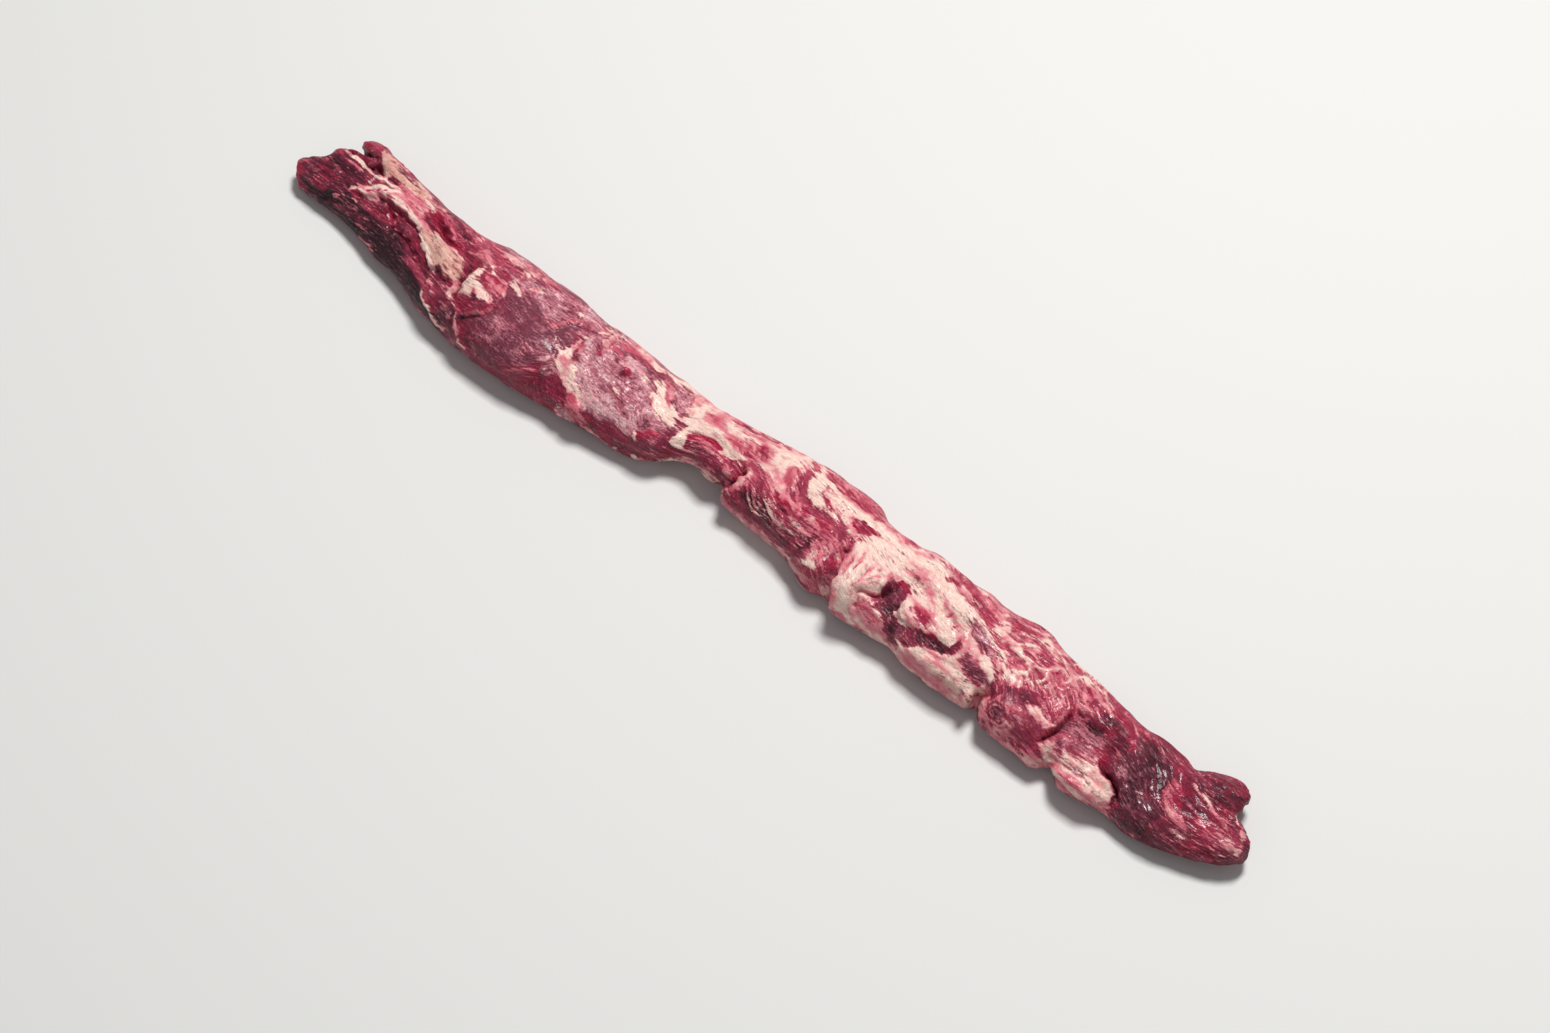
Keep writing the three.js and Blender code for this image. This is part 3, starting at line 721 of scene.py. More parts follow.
# %% [markdown]
# ## The knob
# Where the head muscle ends, a knob of fat sits on top of the bulge's skin. Its rim overhangs the skin and
# throws a small shadow, so it gets a one-sided fold as well as its own rounded form.
# %% Knob
work("""
fill rose 1.6 0.9 : -165 12 -160 16 -154 16 -151 12 -157 8.6 -163 9.4
fill lean 1 : -157 -3.6 -147 -4 -140.4 -4.5 -143 -11 -148 -15.5 -154 -11
weave red 0.9 4 0.7 : -156 -5 -150 -6 -142 -5 : -152 -11 -148 -12 -144 -10
weave haze 0.6 5 0.7 : -155 -5 -151 -8.6 -149 -13 : -150 -5 -147 -8 -146 -12
fill fat 1.1 0.85 : -157 8.6 -154 10.6 -152.4 8 -151.6 4 -147 1.8 -141 1.8 -141.4 -3 -148 -4.4 -156.6 -4
weave cream 0.6 4 0.6 : -156.4 7 -155.6 2 -154.6 -3 : -153 5 -150 1 -143 -1
weave rose 0.4 4 0.6 : -152 1.6 -147 1 -142 0.6 : -153 -3 -148 -3.4 -143 -3
draw cream 0.8 : -152 11.6 -149.5 10.2 -147.6 9
fill rose 0.8 : -152.4 9.6 -146 9.6 -141.2 9 -139.8 3.6 -142 2 -147 2.4 -150.4 4.4
draw red 1.1 0.7 : -150 8 -146.5 7.4 -144.5 5.6
draw red 0.9 0.7 : -150.8 5.4 -147.6 3.6 -145 3
weave pink 0.4 4 0.8 : -151 9 -146 9 -141.6 7.6 : -149.6 4 -146 3.4 -141 3
draw crimson 0.45 : -152.8 8 -150.5 4.6 -147 2.6
draw red 1.3 0.85 : -140.4 3 -139.6 -1.6 -141.6 -6 -144.5 -9.4
draw rose 0.8 : -140.6 8.6 -139.2 3.6 -138.8 0 -140 -5 -143.4 -9 -147 -14.6
rib pink 0.7 1 0.8 0.9 : -147 9.4 -141.4 8.8 -139.4 4 -138.6 0 -139.8 -5 -143 -9 -146.6 -14.6
draw dark 0.5 : -150 -2 -148 -4.4 -147 -5.8
fold 1.9 3.5 : -147 -16 -143.4 -9.4 -140.2 -4.4 -139 0 -139.6 4.4 -141.4 9.4
fold 0.9 2.4 : -153 11.6 -156.6 7 -157 0 -156 -5
ridge -0.9 0.7 : -152.6 7.6 -150.4 4.4 -146.6 2.2
ridge -0.8 0.6 : -150 -3 -146 -5.6 -142 -6
""")
print("knob laid")

# %% [markdown]
# ## The bulge in its silver skin
# The thickest muscle is wrapped in silver skin, a thin taut sheet that turns the lean below it mauve.
# It is smooth, slightly cloudy and shines softly, and it wears thin towards the near edge. A few fine cream
# threads on the skin at its end towards the flat lobe paint glints.
# %% Bulge
work("""
fill crimson 3.4 0.85 : -146 -13 -141 -13 -128 -19 -114 -21 -100 -19 -92 -14 -90 -26 -130 -36 -140 -29 -147
  -18
weave film 1.8 3 0.4 : -138 -14 -124 -16 -108 -17 : -134 -20 -122 -21 -108 -21
draw dark 1.8 : -147 -13 -144 -17 -140 -20
weave pink 0.5 8 0.5 0.2 : -119 -24.4 -112 -19 -106 -11 : -101 -24 -100 -17 -101 -11
weave lean 0.5 6 0.6 : -118 -23 -111 -18 -105 -12 : -100 -24 -98 -18 -99 -12
draw streaky 3 0.5 : -119 -22 -112 -18 -106 -13
draw red 1.8 0.4 : -112 -24 -105 -22 -101 -18
fill veil : -108 -6 -105 -12 -99 -16 -96 -11 -100 -5
weave cream 0.35 5 0.6 : -107 -7 -104 -11 -101 -16 : -102 -6 -99 -10 -97 -14
fill film 1.5 0.8 : -113 6 -108 13 -104 16 -101 8 -102 -1 -107 1
weave cream 0.3 3 0.7 : -111 3.4 -107 0.6 -104 -3 : -109 5 -105 2 -102 -1
draw rose 0.9 0.7 : -114.5 6 -111 10.4 -106 15 -101 18
draw rose 1.4 0.6 : -113.5 8.4 -112 6
ridge 0.5 1.2 : -114.5 5 -111 10.4 -106 15 -101 18
ridge -0.5 1 : -110 3 -105 -1 -103 -5
""")
for first, last, count in [
    ((-146, 20.6, -141, 20.4, -133, 21), (-145, 19, -140, 18.8, -134, 20), 3),
    ((-134, 15, -130, 17, -125.6, 18.4), (-132.6, 13.6, -129, 15, -126, 15.4), 4),
    ((-144, 12.4, -140, 13, -136, 11), (-141, 10, -137, 9.6, -132, 10.6), 4),
    ((-110, 19, -109, 17.6, -108, 15.6), (-109, 19.6, -107.6, 18, -107, 16), 2),
]:
    weave("cream", first, last, 0.75, count, 0.95, 0.35)
    weave("pink", first, last, 0.6, count, 0.6)
work("""
draw red 1 0.45 : -138 14.6 -133 12.6 -128 11.4
weave pink 0.8 6 0.75 : -160 20 -140 23 -112 24 : -150 18 -130 20.6 -104 21
weave pink 0.45 5 0.6 : -158 19.6 -136 22.4 -108 22.6 : -150 16 -132 19 -106 19.6
weave streaky 0.9 4 0.8 : -156 18 -146 18 -132 19 : -154 15.6 -146 15.6 -138 16
draw pink 0.9 0.85 : -159 -6 -156 -10.4 -150 -14 -143 -19.6 -137 -23.6 -131 -26.4 -125 -27.6
rib cream 0.35 0.6 1.1 1 : -159 -6 -156 -10.4 -150 -14 -143 -19.6 -137 -23.6 -131 -26.4 -125 -27.6
draw pink 0.9 0.85 : -170 -12.6 -161 -17.6 -152 -22 -142 -25.4
rib cream 0.35 0.6 1.1 1 : -170 -12.6 -161 -17.6 -152 -22 -142 -25.4
""")
print("bulge laid")

# %% [markdown]
# ## The flat lobe
# A broad band of fat borders the bulge, and past it the strip is flat, under a pale crackled skin with white
# threads running out from the fat. Along its near edge the lean shows dark where the skin has torn back.
# %% Flat lobe, far part
work("""
draw fat 2.2 0.9 : -98 12 -99.6 7 -99.4 -1 -95 -6.4 -88 -10.6 -80 -15
fill cream 1 : -101.6 1 -99 1 -94 -5 -88 -8.4 -82 -12 -84 -15 -90 -11.8 -97 -8 -101 -4
weave cream 0.9 6 1 0.25 : -102 1 -98 -4.6 -91 -10 -83 -14 : -98.6 2 -94 -3.4 -88 -7.6 -80 -11.4
weave frost 0.9 6 0.85 0.15 : -97 2 -90 -2 -82 -7 : -91.6 5 -85 -2 -77 -9
draw cream 1.6 0.8 : -98 1 -94 -6 -86 -11
weave frost 1.3 4 0.8 0.2 : -96 5 -93 -2 -85 -8 : -92 5 -88 -2 -80 -8
weave white 0.8 4 0.8 0.15 : -98 1 -94 -5 -88 -10 : -97 3 -92 -3.6 -86 -8
draw cream 0.5 : -97.5 16 -92 20 -88 21
draw pink 2.1 : -98.5 7.6 -97 3.6 -96 -0.6
draw rose 1.2 : -99.4 6.4 -97.4 7.4 -95.4 8.4
draw red 0.7 0.7 : -98.6 4.8 -97.4 4.2
draw pink 2.3 : -89 17.6 -91.4 14 -91 8
draw rose 0.5 0.4 : -88.2 17 -89.6 13 -89.4 8.6
draw fat 0.9 0.6 : -90.6 16 -92 12 -91.4 8.6
ridge 1 1.6 : -89 17.6 -91.4 14 -91 8
weave pink 0.5 4 0.8 : -92.4 16 -92.6 11 -91.6 7 : -88 19 -89 14 -88.8 10
draw rose 1.1 : -89 16 -86 15 -82 15.4
draw red 1 0.8 : -91 9 -89.4 8.6
fold 1.3 2.6 : -92.6 6 -92.8 12 -91 17 -88 19.5
fold 1.2 2.4 : -82 13.8 -86 14 -88.4 11.6 -89.2 6.8
draw crimson 0.8 : -94 12 -94.5 8.4
draw crimson 1.7 : -76.6 9.4 -73.8 8.8
draw red 0.8 : -77.6 10.4 -74.6 10.6 -72.6 9
ridge -1.2 1.4 : -76.6 9.4 -73.8 9
rib dark 0.32 0.85 -0.5 0.5 : -68 6.6 -69.6 3 -68.6 0.6 : -66 8 -64.6 6 : -75.4 3.6 -74 0.6 : -66.6 0 -65 -2
  : -70 6 -71.6 4 : -72 11 -70 9 -70.4 7 : -82 8 -80 6 : -67.6 -3 -66 -5.4 : -84 12 -80 11.4 : -62 -1 -60.4
  -2.6
fill cream 1.5 : -67 12 -63 15 -57 13 -50 10.4 -45 6 -44 0.4 -50 1.8 -55 2.6 -59 4 -61 7.6 -65 10
weave frost 0.7 6 0.7 : -70 12 -65 15 -58 15 : -67 4 -63 2 -57 0
draw rose 1.5 : -59 14.4 -55.6 11.4 -52 9
draw pink 1 : -57 14.6 -52 11.6
weave veil 0.9 3 0.8 : -61 4 -57.6 0.6 -53 0 : -58 2.4 -55 -1 -51 -1.4
draw rose 0.9 : -59.6 5.4 -58 3.4
weave haze 0.5 6 0.6 : -64 15.4 -56 16.4 -46 15 : -56 9 -50 8 -45 7
fill pink 0.8 0.85 : -97 22 -80 21.5 -60 22 -44 20.6 -44 17 -60 18.4 -80 18.6 -96 18.6
weave rose 0.6 5 0.8 : -96 20.6 -76 20.6 -48 20 : -92 17.6 -70 16.6 -46 15
draw dark 0.9 0.5 : -80 17.4 -72 16.6 -62 15.8
draw crimson 0.6 0.5 : -76 18 -68 17.8 -58 18.4
weave cream 0.4 4 0.75 : -84 20.8 -64 20.6 -42 19.4 : -70 18.6 -56 18 -44 16.6
""")
print("far part of the flat lobe laid")

# %% [markdown]
# ## The near part of the flat lobe
# White threads of skin fan out over the lobe, and below its edge the lean is bare and crimson. Fans of
# threads are woven between two guide lines, because single strokes would look combed.
# %% Flat lobe, near part
work("""
draw veil 2.6 : -86 -1 -76 -5 -68 -9
fill frost 2.4 0.55 : -95 4 -90 2 -84 -3 -76 -9 -70 -13 -80 -14 -90 -9 -97 -3
weave frost 0.6 8 0.6 0.2 : -90 -1 -82 -4 -72 -6 -64 -5 : -84 -11 -76 -13 -68 -13.6 -58 -12.6
weave frost 0.5 4 0.7 0.3 : -64 -1 -60.6 -5 -59.4 -13 : -59 0 -57 -6 -56 -13.6
weave frost 0.5 4 0.7 : -87 1 -84 -4 -82 -9 : -83 1 -80 -4 -77 -9
weave haze 0.5 8 0.6 : -88 -4 -76 -8 -62 -9 : -74 2 -64 -1 -52 -5
draw lean 1.1 0.55 : -89 -3 -86 -5.6 -83 -7
draw red 0.7 0.5 : -88 -4.6 -85 -5.6
draw fat 1.1 0.6 : -76 0 -71 -1.6 -67 -5
fill crimson 1 0.9 : -104 -14 -96 -12.6 -89 -14 -86.6 -19 -90 -26 -100 -29 -108 -28
weave rose 0.5 5 0.5 : -102 -14 -96 -14 -90 -15 : -104 -23 -97 -22 -90 -21
fill crimson 1 0.9 : -77 -15.4 -70 -16.6 -60 -15.4 -52 -16 -46 -15 -47 -20.5 -60 -22 -76 -21.4
weave red 0.8 4 0.6 : -74 -16.6 -62 -16 -50 -16.4 : -74 -20 -62 -19.6 -50 -19.4
draw red 1.2 0.7 : -61 -14.6 -57 -16 -51 -16.6
fill rose 0.8 : -88 -13.6 -83 -14.4 -77.6 -18 -75 -21.6 -80 -24.4 -84 -22 -86.6 -18
draw pink 0.8 : -84 -13.4 -80.6 -16 -77 -18.6
draw rose 2.2 : -86 -15.4 -82.6 -16.6 -79 -19.4
weave cream 0.45 4 0.7 0.4 : -88 -17.6 -85 -20 -81 -21.4 : -88 -22 -84 -24 -78 -23.6
weave pink 0.4 3 0.8 : -78 -18.6 -74 -19.4 -70 -20 : -77 -20 -73 -21 -69 -21.4
fold 1.5 2.6 : -78 -24 -84 -22.6 -88 -17.6 -87.6 -13.4
fill veil 0.7 0.8 : -84 -22.6 -70 -21.6 -58 -21.6 -52 -22.4 -60 -26 -84 -27
draw fat 0.6 : -76 -22.4 -66 -21.9 -56 -21.4
fill lean 1 : -53 -12 -49 -7 -43.5 -5.4 -39.6 -9 -40.6 -16 -46 -18.6 -50 -16
weave haze 0.8 4 0.5 : -48 -7 -45 -11 -44 -16 : -44 -6 -42 -10 -41.6 -14
draw red 1.5 : -54.5 -10.6 -51.6 -9 -48.6 -6.8 -45.6 -5.2
draw rose 0.5 : -53 -8.6 -49 -6 -45 -4.4
draw cream 0.5 : -55.4 -10 -52 -12.8 -50 -13.6
fold 1.2 2.6 : -42 -4.6 -48 -6.2 -54 -10
draw cream 0.7 : -48 -18.8 -45 -19.2 -42 -17.6
""")
print("near part of the flat lobe laid")

# %% [markdown]
# ## The neck
# The strip narrows to a neck that bridges clear of the surface. A small muscle with converging fibres
# lies along its near side, and the rest is white fat with islands of lean. A bright cream and white patch
# on the fat where the neck begins paints a wet highlight, and a dark stroke in the cleft before the body
# paints the shadow in it.
# %% Neck
work("""
fill fat 1.4 0.75 : -44 17 -41 2 -36 0 -34 5 -27 9 -12 7 -8 9 0 6 8 9 12 22 4 26 -8 21 -22 18 -36 18.5
fill lean 0.8 : -36.6 -2 -34.6 3.6 -28 6.4 -20 5.4 -11 1.6 -9.4 -4 -12 -8 -30 -8 -40 -14 -39 -8
draw red 1.6 : -38 -10.4 -35.6 -6 -33 -2.6
draw red 1.5 : -36.4 0 -34 4 -29.6 6.2 -24 5.4 -18 4.2
draw rose 0.8 0.8 : -35.4 2 -31 4.8 -24 4.4 -16 3
weave pink 0.45 10 0.85 0.35 : -33 2.8 -24 3.6 -16 2.2 -10.4 -0.4 : -34 -5 -24 -4.6 -16 -5 -11 -4
weave dark 0.6 6 0.75 -0.25 : -31 1.6 -22 2 -12 -0.4 : -30 -4 -22 -4.6 -13 -5
draw cream 2 : -38.6 0.4 -37.8 -2.6 -37.4 -5.4
fill cream 0.8 : -40 1 -37 1 -35.4 -3 -37 -6 -39.6 -5
fill white 0.6 : -39.8 0.8 -37 0.4 -35.4 -3.6 -37.6 -5.8
draw wet 2 : -38.6 0 -37.8 -2.6 -37.4 -5
ridge 0.5 1.8 : -39.4 -0.6 -37.4 -4.6
draw pink 1.5 : -41 -14.6 -35 -11.6 -30 -7.6 -25 -5.8
weave cream 0.5 3 0.7 : -38 -13 -33 -9.6 -28 -6.6 : -36 -13.6 -31 -10 -25 -7.6
fill pink 0.7 0.8 : -31 -5 -24 -5.6 -17 -5.4 -11.6 -5 -11.6 -9 -24 -9 -32 -8.6
draw fat 1.1 : -27 -6.8 -20 -7.8 -14 -7.4
draw rose 0.6 : -22 -5.4 -18 -6.4 -13 -6
draw cream 1.4 : -38.6 17 -39 9 -38.6 3
weave haze 0.6 4 0.6 : -44 6 -42 1 -40 -3 : -38 9 -38 4 -37.6 -1
weave cream 0.8 5 0.9 0.2 : -38 6.6 -30 9 -22 8 -13 5 : -38 11 -30 12.6 -18 11.4 -4 9
weave rose 0.4 5 0.35 : -37 8 -29 10 -20 9 -10 7 : -36 13 -28 13.6 -16 12 -2 10
weave white 0.7 4 0.8 0.2 : -36 7 -28 9.4 -20 8.4 -12 6 : -36 10 -28 12 -19 10.8 -8 8.6
weave cream 0.7 3 0.9 0.2 : -30 8.4 -22 8.6 -14 6.6 : -28 10.4 -20 10.4 -10 8.6
weave cream 0.7 4 0.95 0.2 : -37 13 -28 15 -20 14.6 -12 17 -2 20.6 : -36 15.6 -28 17 -18 17 -8 19.6 4 24
fill rose 0.8 0.9 : -37 15.6 -32.6 17.2 -27 17 -30 14.8 -35 14.2
fill rose 0.9 : -25 11.4 -18 13.4 -13 17.6 -7 19 -1 15.6 -3 11.6 -12 10.2 -20 10.2
fill lean 1 0.5 : -14 14.6 -8 16.8 -3.6 15 -6 12.6 -13 12
weave red 0.7 5 0.4 : -20 15 -16 12.6 -13 10.6 : -7 18.6 -4 16 -1 13
weave pink 0.45 7 0.85 0.2 : -22 14.6 -18 12.4 -14 10.2 : -7 19.4 -3.6 16 -0.4 13
fill rose 0.7 : -31 18 -22 18.6 -14 20.4 -4 23.6 -8 24.6 -24 21.6 -34 20.4
weave lean 0.7 4 0.8 : -32 20.4 -18 21.6 -4 25 : -26 18.4 -16 20 -2 23
weave cream 0.35 4 0.6 : -36 20 -22 20.8 -8 24 : -28 18 -18 19.4 -4 22.6
draw cream 1.2 : -31 8.8 -22 8.4 -14 6.6
draw cream 1 : -22 4.8 -15 5.6 -10 4.6
draw dark 0.5 : -13.4 4.6 -11 4.2 -9 4.6
ridge -2.2 1.2 : -11 -8 -9.8 -2 -9.6 3 -10.6 6
draw dark 0.8 : -11 -7 -9.9 -2 -9.6 1.6
draw cream 0.6 : -9.4 3 -8 -0.6 -5 -5 -3 -8
fill lacy 1 : -9.4 6.4 -3 7 2 3.6 0 -2 -2.4 -7.4 -5.6 -6 -8.4 0
draw pink 3.4 : -8 6 -5.4 0 -3.4 -6
draw fat 2.2 : -7 4 -5 0 -3 -4
weave cream 0.5 4 0.85 : -8 5 -6.6 0 -4 -6 : -4 5 -2.6 0 -1 -4
fold 1.4 3.4 : -12 7 -9.2 3 -9.4 -3 -8.4 -8 -5 -13
weave rose 0.4 6 0.7 : -12 9.6 -4 8.4 6 9.4 : -8 6.4 0 5 8 6
""")
print("neck laid")

# %% [markdown]
# ## The body
# The middle of the strip is coarse flesh. Lean and fat are folded into each other in long curved streaks,
# with a swirl where two muscles meet, and a pale rim of fat along the near edge.
# %% Body
work("""
fill fat : -2 23.6 6 24.6 8 18 4 12.6 -3 16
fill cream : -1 22 5 23 7 18.6 4 14 -1 17
fill rose 0.9 : 6.6 22.4 10 21.6 11 12 8 10.6 6 15
fill lean 0.8 : 9 23.2 12.6 20 15.2 14 16.8 9.4 13.4 7.6 11.4 12 10 17
weave red 0.6 4 0.8 : 10.4 22 12.4 16 13.6 9 : 12.4 20 14.4 15 15.8 10
weave pink 0.4 4 0.75 0.2 : 6.6 20 8.6 15 9.6 10 : 10 22 12 15 13 9
fill cream 1.1 : 13.6 23.6 19.6 21 24 16 30 9 26 8 21 11.6 17 10 16 15 13 20
weave cream 0.6 4 0.9 : 17 17 20 12 23 8 : 21 19 25 14 28 9
fill red 0.8 0.6 : 10 25.6 14 24.6 15.6 22 12 22.6
fill rose 0.7 : 17.6 23.2 24 23 40 21.8 52 20.6 66 20.6 66 23 46 26 30 28 18 27
weave lean 0.6 5 0.55 : 18 26 34 26 50 24 66 22 : 19 22.8 34 22 48 21 66 20.6
weave pink 0.45 7 0.85 0.2 : 12 26.4 30 26.4 50 24 66 22 : 22 21.6 34 20.8 48 19.8 66 19.6
weave red 0.55 4 0.4 : 18 25.6 32 25 50 22.8 : 20 22.6 34 21.6 50 20.6
draw dark 0.5 0.7 : 19 22.6 30 21.8 42 20.6
fill lacy 1.2 0.8 : 22 17 34 16.6 44 13 46 9.6 38 8 30 9 24 12
fill cream 0.8 : 19.6 22 27 21.2 38 19.8 54 18.6 54 16.8 40 17.2 30 17.6 22 19
weave cream 0.9 3 1 0.2 : 21 20.8 30 20 40 18.6 52 18.4 : 22 17.8 30 16.6 40 16 50 16.2
draw cream 0.9 : 46 18 56 17.6 64 17 70 17.4
weave cream 0.55 7 0.85 0.3 : 21 16 26 11.6 32 7 : 35 17 41 13 47 9
weave rose 0.7 4 0.6 : 27 15 31 11.6 36 7.6 : 37 14 43 11 48 8
draw rose 1 : 23 15.8 28 14 32 12.2
draw red 0.8 0.8 : 25 15 28.6 13.6 31 12.4
draw cream 0.8 : 31 12.6 34.4 9.8 36.6 8.8
fill lean 1 0.85 : 41 15.4 48 16.2 54 15.2 50 13.4 47 11.6 42 12.6
weave red 0.5 4 0.7 : 41 15.6 47 16 53 15.6 : 42 13 46 12.6 50 13
draw lean 0.8 : 60 15.4 64 15 67 15.4
draw dark 0.5 0.7 : 42 14.6 48 14.4 53 15
""")
print("far part of the body laid")

# %% [markdown]
# ## The near part of the body
# Here thin curved streaks of fat lie deep in dark lean, like the grain of a plank. They are woven with a
# small height, so that each one catches the light as a real thread does.
# %% Body, near part
work("""
fill streaky 1.5 : -6 2 2 6 10 6 18 8 30 9 42 8 46 0 44 -8 30 -11 8 -11 -4 -11
fill dark 1.4 0.75 : 0 -1 8 -2 17 -7 28 -9.6 22 -11 6 -10 -2 -6.6
fill dark 1.6 0.8 : 20 0 27 0.6 36 -1 38 -6 33 -9 25 -4 19 -3.6
weave dark 0.8 8 0.7 -0.3 : 4 7 7 1 14 -3.6 24 -6.6 32 -8 : -6 1 -2 -5 5 -8.6 16 -10.4 28 -11
weave pink 0.42 10 0.95 0.45 : 4 9 7 2 14 -3 24 -6.6 33 -8.4 : -7 2 -3 -4.4 4 -8.4 16 -10 28 -10.8
weave cream 0.32 8 0.5 0.3 : 5 9 9 3 15 -2 25 -6 33 -8 : -6 3 -2 -3.4 5 -7.6 16 -9.4 28 -10.4
weave pink 0.4 6 0.8 0.3 : 12 2 20 -0.6 30 -0.4 38 -3 : 12 -2.4 20 -4.6 27 -7 34 -8.4
fill rose 1 : 9 4.6 12 6.4 20 7.8 20.4 3 18 -0.6 13 0.6
draw red 1.1 0.8 : 10 4.4 13 3 17 1.6
draw red 0.9 0.8 : 20 7 21.6 5.4 24 4.6
weave red 0.8 4 0.7 : 24 7.6 31 6.6 38 5 : 27 4.6 33 3.6 40 2
weave pink 0.5 5 0.8 0.2 : 24 9 32 7.6 40 5.6 : 26 3 34 2 42 -1
draw fat 1.3 : 15.6 4.8 18 5.2 19 2.8
rib red 0.6 1 -0.8 0.6 : 12.6 2 14.6 4.4 17 6 : 14 0.6 17 1.6 20 1.4 : 20 6.6 22 5.4 25 5
draw cream 0.7 : 15.6 9 18 10 20.6 9.2
weave pink 0.5 4 0.8 : -4 9.6 4 9 13 9 : 0 6 6 4 10 0
draw pink 1.6 : 12 4 15 5 18 4
lump 15 3.4 6 4 -10 1.3
ridge -0.9 0.8 : 10 -0.6 15 -1.4 20 -1
weave haze 0.8 4 0.45 : 24 -2.6 28 -3.4 32 -2.4 : 25 -7 29 -7.6 33 -6
draw tendon 1 0.35 : 26.6 -5.4 29.6 -5 31 -3
weave pink 0.8 5 0.75 : 36 4.6 42 3 47 0 : 36 -4 40 -7 45 -13
draw marbled 2.6 : 36 -5 38 -9 42 -13
fill streaky 1.2 0.9 : 37 8 47 7.6 47 -1 43 -5 38 -4
weave pink 0.5 6 0.8 0.3 : 38 6 41 1 45 -6 : 44 7 46 2 48 -4
fill marbled 1.8 0.6 : 37 -3 45 -4 49 -11 52 -19 46 -21 40 -17 36 -10
fill dark 1.2 0.4 : 42 -7 46.6 -5.6 49.4 -12 48.4 -16 44 -15
draw cream 1.2 : 35.6 -12.6 38 -12.2 40.6 -13.2
draw crimson 1.1 0.8 : -8 -9.6 -3 -10.4 6 -10.6 18 -11 30 -11.4
draw pink 0.9 : -9.6 -8 -7 -11.6 -3.4 -13.8 4 -13 16 -13.8 30 -16.4
weave pink 0.6 4 0.85 : 22 -12.4 32 -14.6 40 -18 50 -16 : 24 -14.6 32 -17 40 -20.4 50 -20
weave lean 0.6 4 0.7 : 28 -13.4 36 -15.6 43 -17.6 : 34 -11 40 -14 46 -18
draw dark 0.8 0.6 : 43 -14 44.6 -17
ridge 0.8 1.1 : -9.6 -8 -7 -11.8 -3 -13.4 6 -12.8 20 -14
""")
print("near part of the body laid")

# %% [markdown]
# ## The folded fat flap
# A tongue of fat is folded over the near side. Its edge lies on the lean with a sharp step, a crumpled knot
# sits at its top, and past the knot a dark pocket opens, crossed by a pale lacy rim. Pink and rose lines sunk
# along its folds paint the shade in them.
# %% Flap
work("""
fill fat 0.8 : 46.6 5 48 9.6 58 12 72 8 71 -1 68.6 -7 62 -10 64 -16 68.6 -21 57 -26 53.6 -16 49 -6
weave cream 1.1 4 0.8 0.6 : 50 6 52 -4 55.6 -12 60 -21 : 58 7 57.4 -2 59.6 -10 63 -18
weave pink 0.5 4 0.6 -0.6 : 48.4 4 50.4 -5 54 -13 58 -22 : 59 5 58.6 -3 59.6 -10 62 -18
draw pink 1.2 0.8 : 48 1 50.2 -6 53 -13
draw rose 0.5 0.7 : 49.4 0 50 -6
rib rose 0.42 1 -0.9 0.6 : 53.4 6 53.6 0 55.6 -8 58.4 -17 : 59.6 5 59.4 -2 59.4 -9 61.6 -16 : 50.4 4 51.4 -3
  54.4 -12
draw pink 1.1 0.8 : 60.4 -3 60.2 -9 63.4 -17
draw rose 1 0.8 : 67 5 69.4 1.6 69 -3
weave pink 0.6 6 0.9 -0.3 : 60 6 64 3 67 5.6 : 61 2 65 0 68.6 -3
draw cream 1 : 58 6 60.6 3.6 61.6 0
draw pink 2.4 0.8 : 61 -3.4 65.6 -4.6 69 -3
draw haze 0.6 0.5 : 63.4 -1 64 -5 61.6 -8.4 62.4 -12 66.6 -17
draw cream 0.8 : 68 -3 63.4 -6 61.4 -9 62.4 -13 67 -17.6
draw rose 0.3 0.9 : 62 -0.6 61.2 -5 60.6 -9
draw rose 0.3 0.9 : 64.6 0.8 62.8 -0.8 62 -3
fold 2.6 4.5 : 46 9 46.6 4 48.6 -4 52 -12 55.4 -19 58 -25
fold 1.6 3 : 67 -19 62 -12.6 61 -8.6 68 -6 70.8 -1 70.4 4 67 8
ridge 0.9 0.8 : 60.6 -6 60.8 -11 63.4 -15 67.4 -18
ridge -1 0.8 : 61 3 60 -3 59.6 -9 61 -14
ridge -0.8 0.6 : 66.4 3.4 64 0.6 62.2 0
ridge -0.9 0.8 : 54 6 53.4 -3 55.6 -12 58.6 -19
ridge -0.4 0.6 : 50.6 4 52 -4 55.4 -13
draw fat 1.4 : 52.6 -18.4 55.6 -19.6 59 -21.6
draw pink 1.2 : 58 -23 62 -23.4 67 -21.6
""")
print("flap laid")

